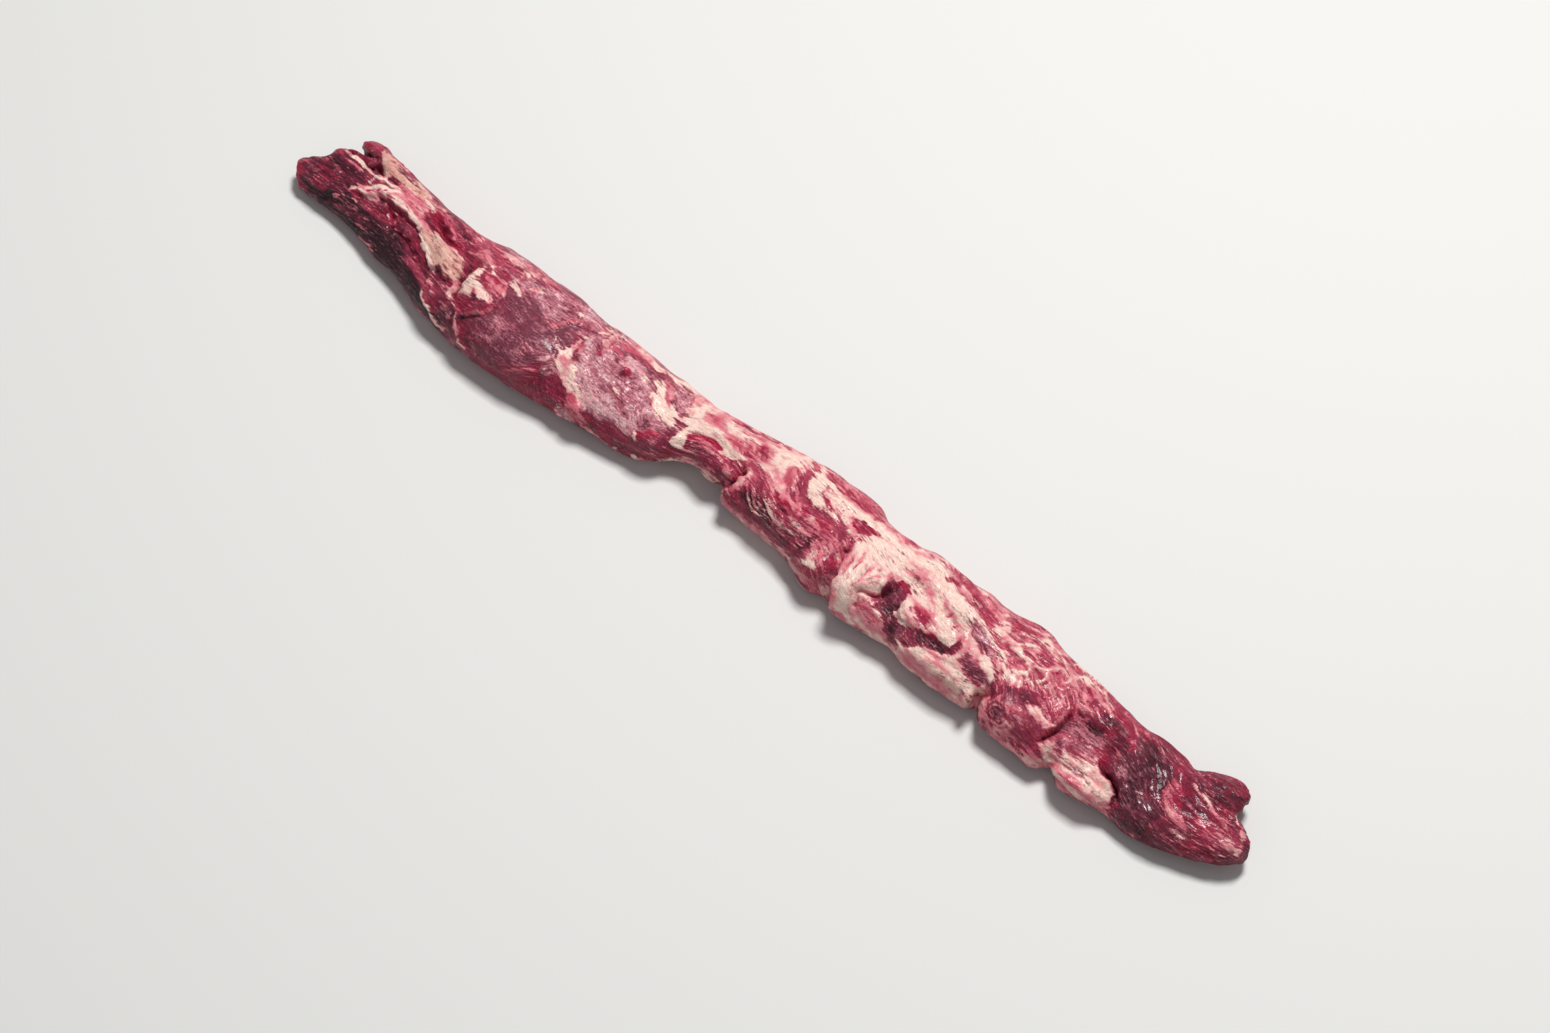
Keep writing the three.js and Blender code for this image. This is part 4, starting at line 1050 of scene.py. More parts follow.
# %% [markdown]
# ## The dark pocket
# Past the flap lies a hollow of dark lean under thin skin, with a rosy bead-edged mound beyond it. Lean,
# skin and dark are laid over one another, weaker each time, so that the hollow's edge stays soft.
# %% Dark pocket
work("""
fill lean 0.8 : 69.6 3.6 75 5 80 2.4 79 -3 80.6 -7 85.6 -10 92 -8 97 -11 94 -16 90 -21 84 -18 76 -12.6 66
  -8.6 70 -4
fill film 1.6 0.8 : 70 0.6 75 0 80 -6 86 -11 88 -17 82 -15 74 -9 70 -5
fill dark 1.6 0.6 : 69 2 76 1 80 -5 86 -11 88 -17 80 -14 74 -9.6 68 -6.6
weave haze 0.5 4 0.35 0.2 : 71 -1 76 -5 84 -10 : 69 -5 76 -10 86 -17
weave red 0.8 3 0.8 : 71 4.6 75 5 80 3 : 71.4 2.6 75.6 3 80 1
draw crimson 1.1 : 70.6 2.6 71 -1 70 -5
ridge -1.6 1.2 : 71.2 3.4 71.6 -2 69.4 -6.6
fill rose 1 0.9 : 66 -9.8 74 -12 84 -18 90 -22 74 -24 64 -18 64 -13
weave pink 0.7 6 0.85 0.25 : 65 -9.6 74 -12.6 86 -19 : 65 -16 74 -19.6 84 -22
weave lean 0.45 4 0.45 : 66.6 -11 74 -14 82 -19 : 66 -14 72 -17 80 -20.6
draw fat 1.6 : 70 -19.8 78 -21 88 -22
weave haze 0.5 4 0.6 : 70 -15 76 -17 82 -19.6 : 68 -18 74 -20 82 -21.6
fill film 1.1 0.7 : 70.6 1 75 1 78.6 -3 80.6 -8 86 -11.6 89.6 -18 85 -18 77 -12.6 70 -8.6 69.6 -4
weave dark 1.1 5 0.8 -0.2 : 71 1 76 -4 83 -11 89 -18 : 69.6 -5 74 -9 80 -14 86 -18
fill pink 0.9 : 78.4 2 84 2.6 92 1.4 97 -3 96 -8 90.6 -8.6 84.6 -8.4 79.6 -4.6
fill fat 0.9 : 79 1.4 84 2.4 85 -1 84 -4 88 -7.4 84 -8 80 -4.6
fill rose 1.1 0.95 : 83.6 1.8 88 0.8 91 -3 88.8 -6.2 85 -5 83 -1.6
fill red 0.9 0.85 : 83.8 0 88.6 -0.8 90.6 -4.8 86 -5.2
weave cream 0.45 5 0.7 : 79 0 81 -4 86 -7.4 : 82.6 1 85 -2 91 -4
rib cream 0.65 1 0.8 0.7 : 78.4 -2.4 80 -6 84.4 -8.8 : 80.6 -0.6 82 -4.4 85.6 -7 : 79 -7 82.6 -9.6 85.6
  -10.6 : 90 -6 93.4 -7.4
""")
for x, y in [(79.4, -3), (81, -6), (83.2, -8.6), (84.6, -9.6), (91.2, -5.8)]:
    ridge((x - 0.3, y, x + 0.3, y), 0.9, 0.6)
# Painted shade: the crimson patch and dark strokes from x 89 to 106 darken the lean in the hollow past the
# mound
work("""
fold 1.1 2.6 : 78 0.6 78.6 -4 81.6 -8.2 86.4 -9.4 93 -8
fill crimson : 92 -7.6 98 -6 106 -6.4 106.6 -9 99 -11.4 91 -13
draw dark 1.8 : 93 -9 98 -8.6 103 -8.4
draw dark 1.2 : 94 -8.6 99 -8 104 -8.4
draw dark 1.1 : 89 -12 91.6 -14.6 90 -17
weave haze 0.6 3 0.7 : 86 -12 87 -15 87.4 -18 : 89 -12 90 -15 90 -18
draw cream 0.45 : 87.4 -11.6 87.8 -14.6
draw cream 0.7 : 87.4 -16.8 91.6 -17 93 -18.6
""")
print("pocket laid")

# %% [markdown]
# ## The fat expanse
# Past the flap the crown is soft cream fat, faintly clouded with pink, swelling into one hump with a few
# creases. Lean streaks run along its far edge, and the low fat on the near side is duller and in shade. A
# rose stroke in the hump's crease paints the shade there, and thin haze strokes over the strands past the
# hump paint glints on their skin.
# %% Fat expanse
work("""
draw cream 2.4 : 84 11 90 7 96 2 100 -1.4
draw cream 1.8 : 92 13 97 13.6 104 11.6 106 8
fill cream 1 : 71 18 76 21.6 82 22.6 86 20 84 17 76 16.6
weave cream 0.9 3 0.95 0.25 : 72 18 78 21.4 86 22 : 76 16.6 82 19.4 90 17
fill fat 1.5 : 69 14 80 15.6 86 11 78 7 71 8
draw cream 1 : 83 19 86 15 90 13
draw cream 1.4 : 56 10.6 62 8.6 68 7
weave pink 0.5 10 0.7 -0.15 : 50 16 62 16.6 76 18.6 : 60 9.6 72 9 86 9
weave cream 0.5 7 0.8 0.15 : 52 15 64 15.6 78 17 : 62 10.6 72 10.4 84 12
weave rose 0.35 5 0.6 : 66 14 74 14.6 82 16.6 : 70 9 78 8 86 9
weave pink 0.5 6 0.5 : 72 8 80 7 90 3 : 80 13 88 11.6 94 8
draw pink 1.2 0.9 : 91.6 10 92.8 7.6
draw rose 0.5 : 96 7.6 96.6 4.6
ridge -1.1 0.8 : 95.4 8 96.6 4
ridge -0.6 0.7 : 99 9 101 6.6
fold 1.2 3 : 108 5 106.6 11.6 101 15 92 14.6
draw tendon 1.4 0.4 : 99 1 103 -1.6 107 -3
fill lean 0.6 0.7 : 100 13.6 103 13 103 11 100.6 11.4
fill lean 0.9 0.5 : 100 4.6 104 4.4 108 1 102 1.6
fill crimson 0.6 : 106 0.4 108.4 -3 107 -8 105.4 -4
fill streaky 0.8 : 86 19.4 92 20.4 104 18 116 13 114 10.6 104 14.4 92 15.6 85 16.6
weave lean 0.55 7 0.85 -0.3 : 86 22 98 20 112 16 : 90 16.6 102 14.4 118 9.6
weave pink 0.42 7 0.85 0.25 : 86 21 98 19 114 14.6 : 92 16 104 13.6 118 9
weave streaky 1 3 0.8 : 74 23 90 24 106 23 : 84 21 98 21 116 19.6
weave pink 0.5 5 0.6 0.2 : 90 23 104 22.4 118 22 : 96 20 108 18.4 120 15
fill streaky 1.2 0.7 : 92 23.6 104 23 116 22 118 18 108 19 96 20.4
weave rose 0.5 5 0.7 : 92 22.6 104 21.6 118 20 : 96 19 108 17.4 120 14
draw cream 0.9 : 99.4 23.6 101 22.4 103 22
weave cream 0.6 10 0.95 0.4 : 102 16.4 107 12.6 115 9.4 129 3.4 : 104 8 110 5.6 118 2 130 -4
weave haze 0.45 6 0.7 0.2 : 104 13 112 9 122 5 : 106 7 113 4.4 122 1
weave film 0.7 7 0.8 -0.15 : 105 11 112 8.4 124 4.6 : 106 6 114 3.2 125 -0.6
weave frost 0.4 6 0.85 0.25 : 104 12 112 9 126 4 : 107 6 115 3 127 -2
draw cream 1 : 113 8.6 120 6.4 127 2.4 130 -1
draw crimson 1 : 114 1.2 116.6 0.4
draw fat 2 : 108 2.6 114 -1.4 120 -4.6
draw marbled 2.6 0.6 : 112 -6 120 -6.6 126 -6
weave haze 0.6 6 0.7 0.2 : 112 -2 120 -4 130 -9 : 112 -7 120 -8.6 128 -11
fill film 1.6 0.85 : 112 -4 118 -4.6 126 -7 126 -11 118 -11 112 -8
weave dark 0.5 4 0.6 : 114 -3.4 120 -5 127 -8 : 114 -7.6 120 -9 126 -10.6
fill lean 0.8 : 116 -9.6 122 -10.4 127 -12.6 124 -14 117 -12.6
weave cream 0.6 5 0.85 0.25 : 119 2 125 -2 131 -7 : 116 -1.6 123 -4.6 130 -10
draw cream 1.4 0.8 : 133 0.6 136.6 -1 134 -4
""")
print("fat expanse laid")

# %% [markdown]
# ## The low fat and the finger
# The near side below the expanse is a dull roll of fat, and a light fill of tendon tan over it is partly
# painted warm shade. A small finger of it hangs over the next lobe, so it gets its own lump and a groove along
# its edge.
# %% Low fat and the small finger
work("""
fill fat 2.6 0.95 : 95 -15 104 -12.4 112 -10 118 -14.4 124 -20 116 -27 96 -27 90 -21
fill tendon 2 0.35 : 92 -16 104 -14 114 -12 120 -16 118 -25 96 -25
weave pink 0.7 7 0.8 : 92 -17 104 -18.6 122 -20 : 92 -22 106 -23.6 124 -23
weave rose 0.4 5 0.55 : 94 -12.6 104 -12 112 -12 : 96 -19 108 -20.4 120 -21.6
draw rose 0.8 0.5 : 100 -12.6 106 -12
draw cream 1 : 112 -12 115 -15
ridge -0.6 1 : 96 -19 106 -19.6 114 -20.4
fill pink 0.7 : 121 -14 126 -13.6 129 -17.6 128.6 -21.4 121.6 -21.4
weave cream 0.4 3 0.6 0.2 : 122 -14.6 124 -17.6 124.6 -20.6 : 126 -14 127.6 -17 127.6 -20.6
draw rose 0.6 0.5 : 125 -16.6 127 -19.6
draw cream 0.7 : 122.8 -14.6 122.4 -17.6
draw cream 0.9 : 126 -12.6 128 -15 131 -19
lump 124.6 -18 3.4 4.2 20 3
ridge -1.6 1.1 : 129.6 -22 129 -17 130.6 -11
""")
print("low fat laid")

# %% [markdown]
# ## The marbled shoulder and the folded lobe
# Here fine marbling covers the crown like lace. Below it a lobe has folded over on itself: its end shows a
# round swirl, and its brink hangs over the web beyond, with a dark gap of painted shadow under it.
# %% Marbled shoulder
work("""
fill lacy 1.5 : 110 21.6 130 25 146 23 160 20 166 12 160 6 146 3 136 4 126 6 116 11
weave cream 0.5 7 0.85 0.3 : 112 20 122 22 133 24.6 : 118 14 126 15.6 136 19.6
fill pink 2.4 0.5 : 118 20 130 22.6 146 20 154 16 150 6 138 5 126 8 118 12
weave red 0.5 6 0.5 -0.2 : 113 18 122 20 133 23 : 119 13 127 15 136 18.6
weave lean 0.6 4 0.5 : 112 22.6 124 23.6 140 22.6 : 114 17 124 18.4 134 21
draw red 0.9 0.5 : 120 9.6 124 8.4 129 9.4 : 126 13 131 11.4 134 12.6 : 133 17 136 13 140 12 : 139 8 144 6.6
  147 4 : 128 6 132 8 136 7 : 143 16 147 17.4 : 145 12 148 10 149 7
rib cream 0.7 0.9 0.3 0.8 : 131 3 136 6 133 9.6 : 136 10 140 10.6 145 14 : 146 19.6 151 20.8 160 19.4 : 122
  12.6 127 13.6 132 17 : 150 12 151.6 16 156 18 : 152 10 155 6 156.6 2 : 131 18 133 21 136 20 : 138 16 143
  18 148 16.6 : 140 4 143 8 142 11 : 124 10.6 130 10 134 10.6
fill lean 0.9 0.7 : 132.6 14.6 135 17 141 15.6 140 12.6 135 12
fill lean 1.4 0.5 : 151 14.6 158 15 164 10 158 5 152 8
weave pink 0.5 5 0.75 0.2 : 146 16 152 12 158 4 : 152 18 158 14 163 8
draw red 1.2 0.7 : 138 2.6 141 1.6 140 -0.6
weave haze 0.7 4 0.5 : 158 13 162 10 166 8 : 160 9 164 7 168 6
fill lean 1.6 0.35 : 150 10 158 12 164 8 160 4 153 3
""")
print("marbled shoulder laid")

# %% [markdown]
# ## The folded lobe
# The lobe's end shows a round swirl, like the end of a rolled cloth. It is drawn as rings inside each
# other, pink and skin by turns, and the brink is a fold with a dark red line of painted shadow under it.
# %% Folded lobe
work("""
fill lean 1 : 137 -1 146 2.6 151 -2 158 2 160 -8 157 -16 160 -20 150 -22 141 -21 134 -17 133 -7
fill film 1.2 0.6 : 133.6 -6 139 -4 144 -10 142 -12 134 -11
fill pink 1.4 0.7 : 131 -10 136 -10 143 -11.6 148 -14 147 -22 138 -22.6 131.6 -17
fill veil 1.2 0.5 : 134 -12 141 -13 144 -18 138 -20 134 -17
fill dark 1.2 0.6 : 140 -2 146 1 149 -3 145 -6.6 140 -6
weave haze 0.5 4 0.7 : 139 -3 142 -5 146 -6.4 : 142 0 145 -1.6 148 -4
weave pink 0.6 6 0.85 0.25 : 147 3 152 -2 158 -6.4 : 143 -8 149 -8.6 157 -10
weave cream 0.5 4 0.85 0.2 : 149 -1 153 -5 157.6 -7.6 : 144 -9 150 -9 157 -9
draw cream 1 : 152.6 -8.4 155 -8.2 157 -7.2
weave pink 0.45 5 0.6 0.2 : 139 -7 141 -12 139.6 -20 : 146 -11 148 -15 145 -21
weave veil 1.1 6 0.75 : 136 -7 136 -11 137 -13 : 146 -8 149 -14 147 -20
draw marbled 2 0.85 : 143 -10 149 -9 156 -8.6
fill lean 1.2 0.7 : 147 -13 153 -11.6 157 -13 154 -18 148 -19
weave pink 0.7 5 0.9 0.2 : 130 -17.6 134 -21 144 -21.6 158 -21.4 : 131 -22 136 -26 148 -27 160 -25
weave lean 0.45 3 0.5 : 133 -19 138 -22.4 146 -22.6 156 -22.6 : 134 -23 140 -25 148 -25.4 158 -24
""")
SWIRL_X, SWIRL_Y, SWIRL_FLATNESS = 137.6, -16.4, 0.8
for radius, finish in [(5.8, "pink"), (4.7, "film"), (3.6, "pink"), (2.4, "film")]:
    ring = []
    for angle in np.radians(range(0, 390, 45)):
        ring += [SWIRL_X + radius * math.cos(angle), SWIRL_Y + SWIRL_FLATNESS * radius * math.sin(angle)]
    rib(finish, ring, 0.6, 1, 0.6 if finish == "pink" else -0.3, 0.6)
work("""
rib dark 1.2 0.7 -0.9 1 : 136.6 -16.2 138.6 -17
draw pink 0.9 : 131 -8 133.6 -11 133 -15
draw rose 0.8 : 158.6 1 158.4 -4 157.6 -9 156.6 -14
draw cream 0.6 : 157.8 -6 156.6 -10
draw crimson 1.3 : 158.4 3 160.8 0 160.8 -6 160 -10 158.4 -15
draw dark 0.8 : 161 -1 161.2 -6 159.6 -13
fold 2.2 4 0.5 : 157.6 -17 158.4 -12 159.4 -6 159.6 1 157.6 4
fold 1.1 3 : 128.6 -14 129.6 -18.6 134 -23.6 146 -26
draw lean 1.3 : 159 -18 161.6 -20 166 -19.6
""")
print("folded lobe laid")

# %% [markdown]
# ## The web and its lip
# Between the lobe and the tail muscle a pinkish web is stretched, streaked along the strip. Its near edge
# is a thick banded lip of fat, and a deep red crack parts it from the muscle. Dark strokes in that crack and
# along the fold at the web's top paint the shade in them.
# %% Web and lip
work("""
fill marbled 1.4 : 162 0.6 170 1.4 178 0.6 184 -5 178 -12 162 -14 160.6 -6
fill film 1.4 0.6 : 162 1 172 1.6 182 -1 182 -4 172 -3.4 162 -3
fill veil 2 0.45 : 163 -2 172 -3 180 -8 172 -12 163 -12
weave pink 0.7 9 0.85 0.2 : 163 -1.6 172 -3 182 -7 : 164 -15 176 -16 189 -17
weave cream 0.5 9 0.85 0.25 : 164 -5 173 -6.6 184 -9.6 : 165 -15 176 -16.4 190 -18
weave lean 0.6 5 0.6 -0.2 : 163 -1 170 -2.4 179 -4.6 : 162 -10 168 -12 176 -13
fill veil 1.6 0.45 : 163 -1 172 -2 179 -6 176 -11 168 -14 162.6 -12
fill pink 1 0.9 : 179 -8 186 -10.6 191 -13.6 195 -19 190 -22 178 -20 168 -18 172 -14
fill fat 1.4 0.6 : 178 -11 186 -12.4 191 -15.4 193.6 -19 189 -20.6 178 -19.4 170 -17.6 172 -14.6
weave cream 0.9 4 0.85 0.2 : 181 -9.6 187 -12.6 193 -18 : 176 -13 182 -16 190 -19.6
weave rose 0.4 4 0.7 : 180 -11 185 -14 190 -19 : 176 -15 182 -17 187 -19.4
draw dark 1 : 161.6 4.6 166 3 172 2.4 176 3
draw crimson 0.9 : 160 4.6 163.6 3.4 167 2.6
ridge -1.4 1.1 : 160.6 4.6 167 2.8 174 2.4
fill pink 0.7 : 161 -19.6 167 -17.6 174 -19.4 190 -20.4 199 -20.6 208 -23.6 200 -28 176 -30 166 -25 162 -21
weave rose 0.45 4 0.85 : 166 -19.6 178 -21.4 194 -21.6 : 170 -24.6 182 -25.6 196 -24.6
weave cream 0.5 4 0.85 0.3 : 168 -20.6 180 -22.4 196 -22 : 171 -23.6 182 -24.8 196 -23.8
draw lean 0.5 0.7 : 166 -19.4 170 -20 176 -20.6
draw fat 1 : 196 -20.8 201 -22.8 206 -24.6
draw cream 0.6 : 162 -16.6 165 -19.4 167 -18.6
draw crimson 1 : 181 -6.6 185 -9.6 189.6 -11.6 192.6 -15 195 -18.6
draw dark 0.6 : 190 -12.4 193 -16 195.6 -19.6
ridge -2 1 : 181 -6.6 186 -10 190.6 -13 195.4 -19 196 -21.6
fold 1.2 2.6 : 197 -20 191 -14.6 185 -10.6
fold 1 2.6 : 198 -21.6 186 -20.4 174 -20 165 -18.8
ridge 0.5 0.8 : 168 -22.6 180 -24 192 -23.4
""")
print("web and lip laid")

# %% [markdown]
# ## The twisted muscle and the tail
# The tail muscle is dark and wet and turns like a rope, so its fibres run slantwise and catch small sharp
# highlights. Thin pale haze strokes along the fibres paint more of these highlights, and near-black strokes
# paint the shade in its fold and beside its slot. It splits into two lobes at the end, with a pale band of
# gristle curling between them.
# %% Twist
work("""
fill lean 1 : 166 19 200 17 210 12 212 4 208 -2 216 -10 240 -14 222 -28 204 -28 197 -20 188 -9 181 -4 176 3
  168 7 162 12
fill dark 2 0.75 : 170 10 178 13 186 11 194 9 204 7 208 -2 206 -12 196 -14 188 -6 182 -1 178 3 172 6
fill dark 2 0.8 : 198 -8 208 -9 216 -14 222 -20 206 -24 198 -18
fill film 2.6 0.35 : 178 8 186 12 196 12 206 8 208 0 204 -8 212 -15 204 -19 196 -13 188 -4 180 2
draw dusk 2.4 0.34 : 193 8 196 0 197.4 -6 203 -14
draw dusk 1.6 0.4 : 180 10 182 8 184 4
fill film 1.5 0.5 : 183 3 190 3 192 -3 190 -9 186 -6 183 -1
fill wet 3 0.2 : 172 12 186 12 204 6 212 -6 218 -14 206 -20 192 -10 180 -1 172 6
draw wet 2 0.6 : 188 3 189.6 -2 190 -8
draw wet 1.5 0.6 : 171 9.6 176 9 182 8
draw wet 2 0.4 : 203 -9 206 -12 208 -16
fill marbled 1.4 0.7 : 164 18.6 172 17.4 176 13 170 10.6 164 13
weave pink 0.5 4 0.7 0.2 : 160 19 168 17.4 176 14 : 162 13 168 11 174 9.6
draw red 1.2 0.5 : 168 16.6 174 14 180 13.6
draw crimson 1.4 : 179 12 183 9 183 5.6
draw pink 0.9 0.8 : 181.6 14 184 11 186.4 7
draw rose 1.1 : 184.6 7.4 187 5 187 2.6
draw red 0.9 0.7 : 186.4 6 188 4 187.6 2
weave pink 0.35 4 0.7 0.3 : 177 4 182 0 186 -4 190 -9 : 180 5 185 0 189 -4 193 -9
weave dark 0.6 7 0.75 -0.4 : 182 12 192 6 200 -3 207 -12 : 198 14 206 8 210 0 214 -8
weave haze 0.32 10 0.5 0.4 : 180 10 190 3 198 -6 206 -15 : 196 14 205 9 209 1 213 -8
weave rose 0.3 8 0.3 0.2 : 184 12 194 6 201 -3 208 -13 : 200 14 206 8 210 1 213 -7
weave haze 0.35 5 0.7 0.4 : 173 10 177 8 181 5 : 176 12 180 10 184 7
weave haze 0.32 8 0.5 0.4 : 186 1 190 -4 196 -11 : 194 4 199 -3 205 -12
weave pink 0.4 4 0.65 0.2 : 184 15 194 13 204 11 : 190 12.6 197 11 204 8
weave red 0.6 4 0.3 : 184 15.6 196 14.6 208 12 : 190 12 200 9.6 208 5
weave haze 0.4 6 0.55 0.35 : 202 -14 211 -16 222 -18 : 200 -20 208 -22 218 -22
weave dark 0.5 4 0.6 -0.3 : 204 -12 212 -14.6 222 -17 : 200 -21 208 -22.6 216 -22.4
""")
print("twist laid")

# %% [markdown]
# ## The tail
# The tail ends in two lobes of dark lean with a notch between. A pale arc of gristle curls into the near
# lobe, whose tip has a thin rim of fat and small frost-white strokes that paint its glints. Pale haze
# strokes on both lobes and on the near band paint their sheen and glints. All is woven along the fibres,
# which fan out here.
# %% Tail
work("""
fill lean 1 0.9 : 206 12 214 17 222 22 238 22 240 6 250 2 251 -8 240 -16 226 -22 212 -20 214 -8 212 2
fill crimson 2 0.7 : 213 16.6 222 20.6 236 20.6 237 12 230 8 218 10
weave dark 0.8 6 0.7 -0.3 : 212 14 222 17.6 234 19 : 216 9.4 226 9.6 236 8
weave haze 0.4 10 0.55 0.35 : 213 15 222 18.6 234 19.4 : 215 9 226 9.4 236 8
weave red 0.6 5 0.5 : 214 15 223 18 234 18 : 216 10.6 226 11 236 10
draw pink 1.1 0.9 : 208.6 12.6 212 12 215 14.6
draw rose 0.9 0.7 : 212 15.6 217 18 222 19
fill rose 0.6 0.75 : 206 5 210 5 214 -1 219 -5.6 226 -9 217 -10 210 -6 206.4 0
draw pink 1.2 0.3 : 206 4.6 208.6 1 211.8 -4.2 217.6 -8 225 -9.8 232 -10.6
draw red 1.3 0.7 : 211 3.6 213.6 0 217 -3.6
weave pink 0.35 3 0.6 : 208 4 210.6 0 214 -4 : 212 4 214 0 218 -4
ridge 0.9 1 : 205.6 5 207.6 0 211.6 -4.8 217.6 -8.2 226 -9.6
draw fat 0.9 : 213 8.4 218 6.4 225 4.2
weave pink 0.4 4 0.75 0.25 : 222 5.4 229 3.6 237 3 : 224 2 230 1 238 0.6
draw pink 1.1 : 218 1.4 223.6 -1.6 230 -5.6
draw rose 0.8 0.8 : 227 2 233 1.6 238 3.6
weave dark 0.6 5 0.6 -0.2 : 214 4 222 2 230 0.6 : 215 -2 222 -5 230 -8
ridge 0.7 0.8 : 214 8 219 6.2 226 3.8 236 2
ridge 0.6 0.8 : 218.6 1.2 223.6 -1.6 229 -5.4
fill marbled 1.4 0.6 : 229 0 238 1.6 245 1 248 -7 239 -11.6 230 -10 227 -5
weave pink 0.4 8 0.5 0.3 : 229 -1 237 0.6 246 -1.6 : 228 -8 237 -10.6 245 -8.6
weave haze 0.4 5 0.7 0.3 : 230 -3 237 -3.6 243 -4 : 230 -8 237 -9 242 -8.6
weave pink 0.5 5 0.5 0.3 : 236 2 242 0 246 -3 : 232 -7 238 -9 244 -9
draw pink 1.4 : 240 4 244.6 -1 247.6 -6
draw frost 0.7 0.7 : 241 -4 244 -6 243 -8.6
draw fat 0.5 0.8 : 238 -11.6 243 -10 246.6 -6.6
fill wet 2 0.4 : 230 -2 246 -2 247 -9 236 -13 228 -9
fill crimson 1.2 0.3 : 214 -19 224 -16 236 -13.6 244 -11 238 -18 226 -26 214 -28
weave streaky 0.7 3 0.45 : 214 -12 224 -12 234 -12.4 : 212 -17 222 -16 232 -15
weave pink 0.35 6 0.5 0.3 : 216 -11 228 -10.6 240 -11.6 : 213 -20 224 -18 236 -14.6
weave haze 0.35 4 0.5 : 218 -12 228 -11.6 238 -12.6 : 214 -18 224 -16 234 -14
draw cream 0.5 : 235.6 8 237.6 5.6
draw fat 0.45 : 208 -24.6 214 -24.8 221 -22.8
fold 0.9 2.6 : 239 7 231 3.4 224 2
""")
print("tail laid")

# %% [markdown]
# ## Creases
# Deep creases part the muscles. They are cut last, so that no stroke above fills them, and they are the same
# ones that the solid has.
# %% Cut the creases
for depth, half_width, path in [
    (4, 2, (-242, 19.5, -230, 19, -218, 18)),
    (1.6, 2.2, (-222, 2, -205, 2.5, -188, -2, -172, -9, -158, -13.5)),
    (2.6, 2, (-159, 8, -158, -3, -154, -14)),
    (3.4, 2, (-10.5, -7, -9.5, 0, -10, 6)),
    (2.4, 2, (46, 6, 47.5, -4, 51, -14, 55, -21)),
    (2.4, 1.8, (71, 4, 70, -4, 62, -9, 65, -17)),
    (3, 2, (129.5, -22, 128.4, -15, 131, -8)),
    (4.6, 2.2, (158, -15, 161, -8, 161, 2)),
    (2.2, 2, (160, 4, 168, 2.5, 177, 2)),
    (2.8, 1.8, (182, -7, 190, -12, 197, -20)),
]:
    ridge(path, -depth, half_width)
print("the deepest crease goes down", round(float(-relief.min()), 1), "mm")

# %% [markdown]
# ## Marbling
# Marbling is fat that grew between the fibre bundles, so it is made from the fibre streaks: a place is fat
# where its own share of fat and the streaks together pass a threshold. The threshold itself waits for the
# material, which can draw it finer than any mesh. Wide streaks suit coarse flesh and thin ones fine flesh.
# %% Streaks of fat and the grain of the lean
lace = makings.pop("lace")
NET_WIDTH, BAND_WIDTH = 0.25, 0.3
net = np.maximum(np.exp(-((cloud(90, 7, 3) / NET_WIDTH) ** 2)), np.exp(-((bands / BAND_WIDTH) ** 2)))
tail_share = ease(164, 196, PLAN_X) * (1 - ease(0.0, 0.6, makings["fat"]))
streaks = (0.12 + 0.08 * lace) * strands + 0.18 * threads + 0.08 * bands + 0.06 * cloud(14, 3, 3)
makings["fat"] += (1 - 0.35 * tail_share) * streaks + lace * (0.34 * net - 0.14) - 0.16 * tail_share
bloom = 0.5 * ease(0.5, 1.9, strands + 0.7 * cloud(25, 7, 3)) * (1 - ease(0.3, 0.9, makings["fresh"]))
bloom *= 1 - ease(0.7, 1.2, makings["dark"])
makings["silver"] = np.maximum(makings["silver"] * (1 + 0.2 * cloud(15, 7, 5) + 0.12 * strands), bloom)
pale = np.where(makings["silver"] == bloom, 0.35, makings["pale"])
makings["pale"] = pale + 0.16 * cloud(16, 6, 5) + 0.16 * threads + 1.1 * lace * net
mottle = [
    0.5 * cloud(n, 1.6, 1.3) + 0.55 * cloud(n + 1, 3.5, 2.6) + 0.6 * cloud(n + 2, 8, 5)
    for n in (50, 60, 70, 80)
]
makings["dark"] += 0.19 * mottle[0] + 0.1 * strands + 0.08 * threads + 0.34 * tail_share
makings["pink"] += 0.2 * mottle[1] + 0.12 * threads + 0.2 * strands
makings["fresh"] += 0.18 * mottle[2] + 0.08 * strands
makings["fat"] += 0.08 * mottle[3]
makings["pale"] += 0.16 * mottle[3] - 0.1 * mottle[0]
makings["wet"] += 0.25 * ease(0.2, 1.4, cloud(20, 6, 5))
makings["fibre"] = threads
# Painted shade: hollows in the relief are painted darker and pinker, with less fat showing, and skin that
# faces the near side, turned from the light, gets a painted warm pink and tan
hollow = np.clip(blur(relief, 3, 3) - relief, -0.5, 1.2)
makings["pink"] += 0.5 * np.maximum(hollow, 0)
makings["dark"] += 0.4 * hollow
near_side_painted_warmth = ease(0.2, 1.0, np.gradient(blur(relief, 2, 2), CELL, axis=0) + 0.5 * ease(6, 22, -PLAN_Y))
makings["pink"] += 0.3 * near_side_painted_warmth
makings["tendon"] += 0.3 * near_side_painted_warmth * ease(0.5, 0.9, makings["fat"])
makings["fat"] -= 0.2 * hollow
leanness = 1 - ease(0.3, 0.7, makings["fat"])
relief += 0.3 * ease(0.3, 0.8, makings["fat"]) * (1 - 0.6 * makings["silver"])
relief += leanness * (1 - 0.75 * makings["silver"]) * (0.13 * threads + 0.1 * strands)
relief += (1 - leanness) * (0.06 * threads + 0.16 * cloud(24, 4, 3))
fat_cover = float((makings["fat"] > 0.5)[40:150].mean())
print("fat shows on", round(fat_cover * 100), "percent of the plan's middle")


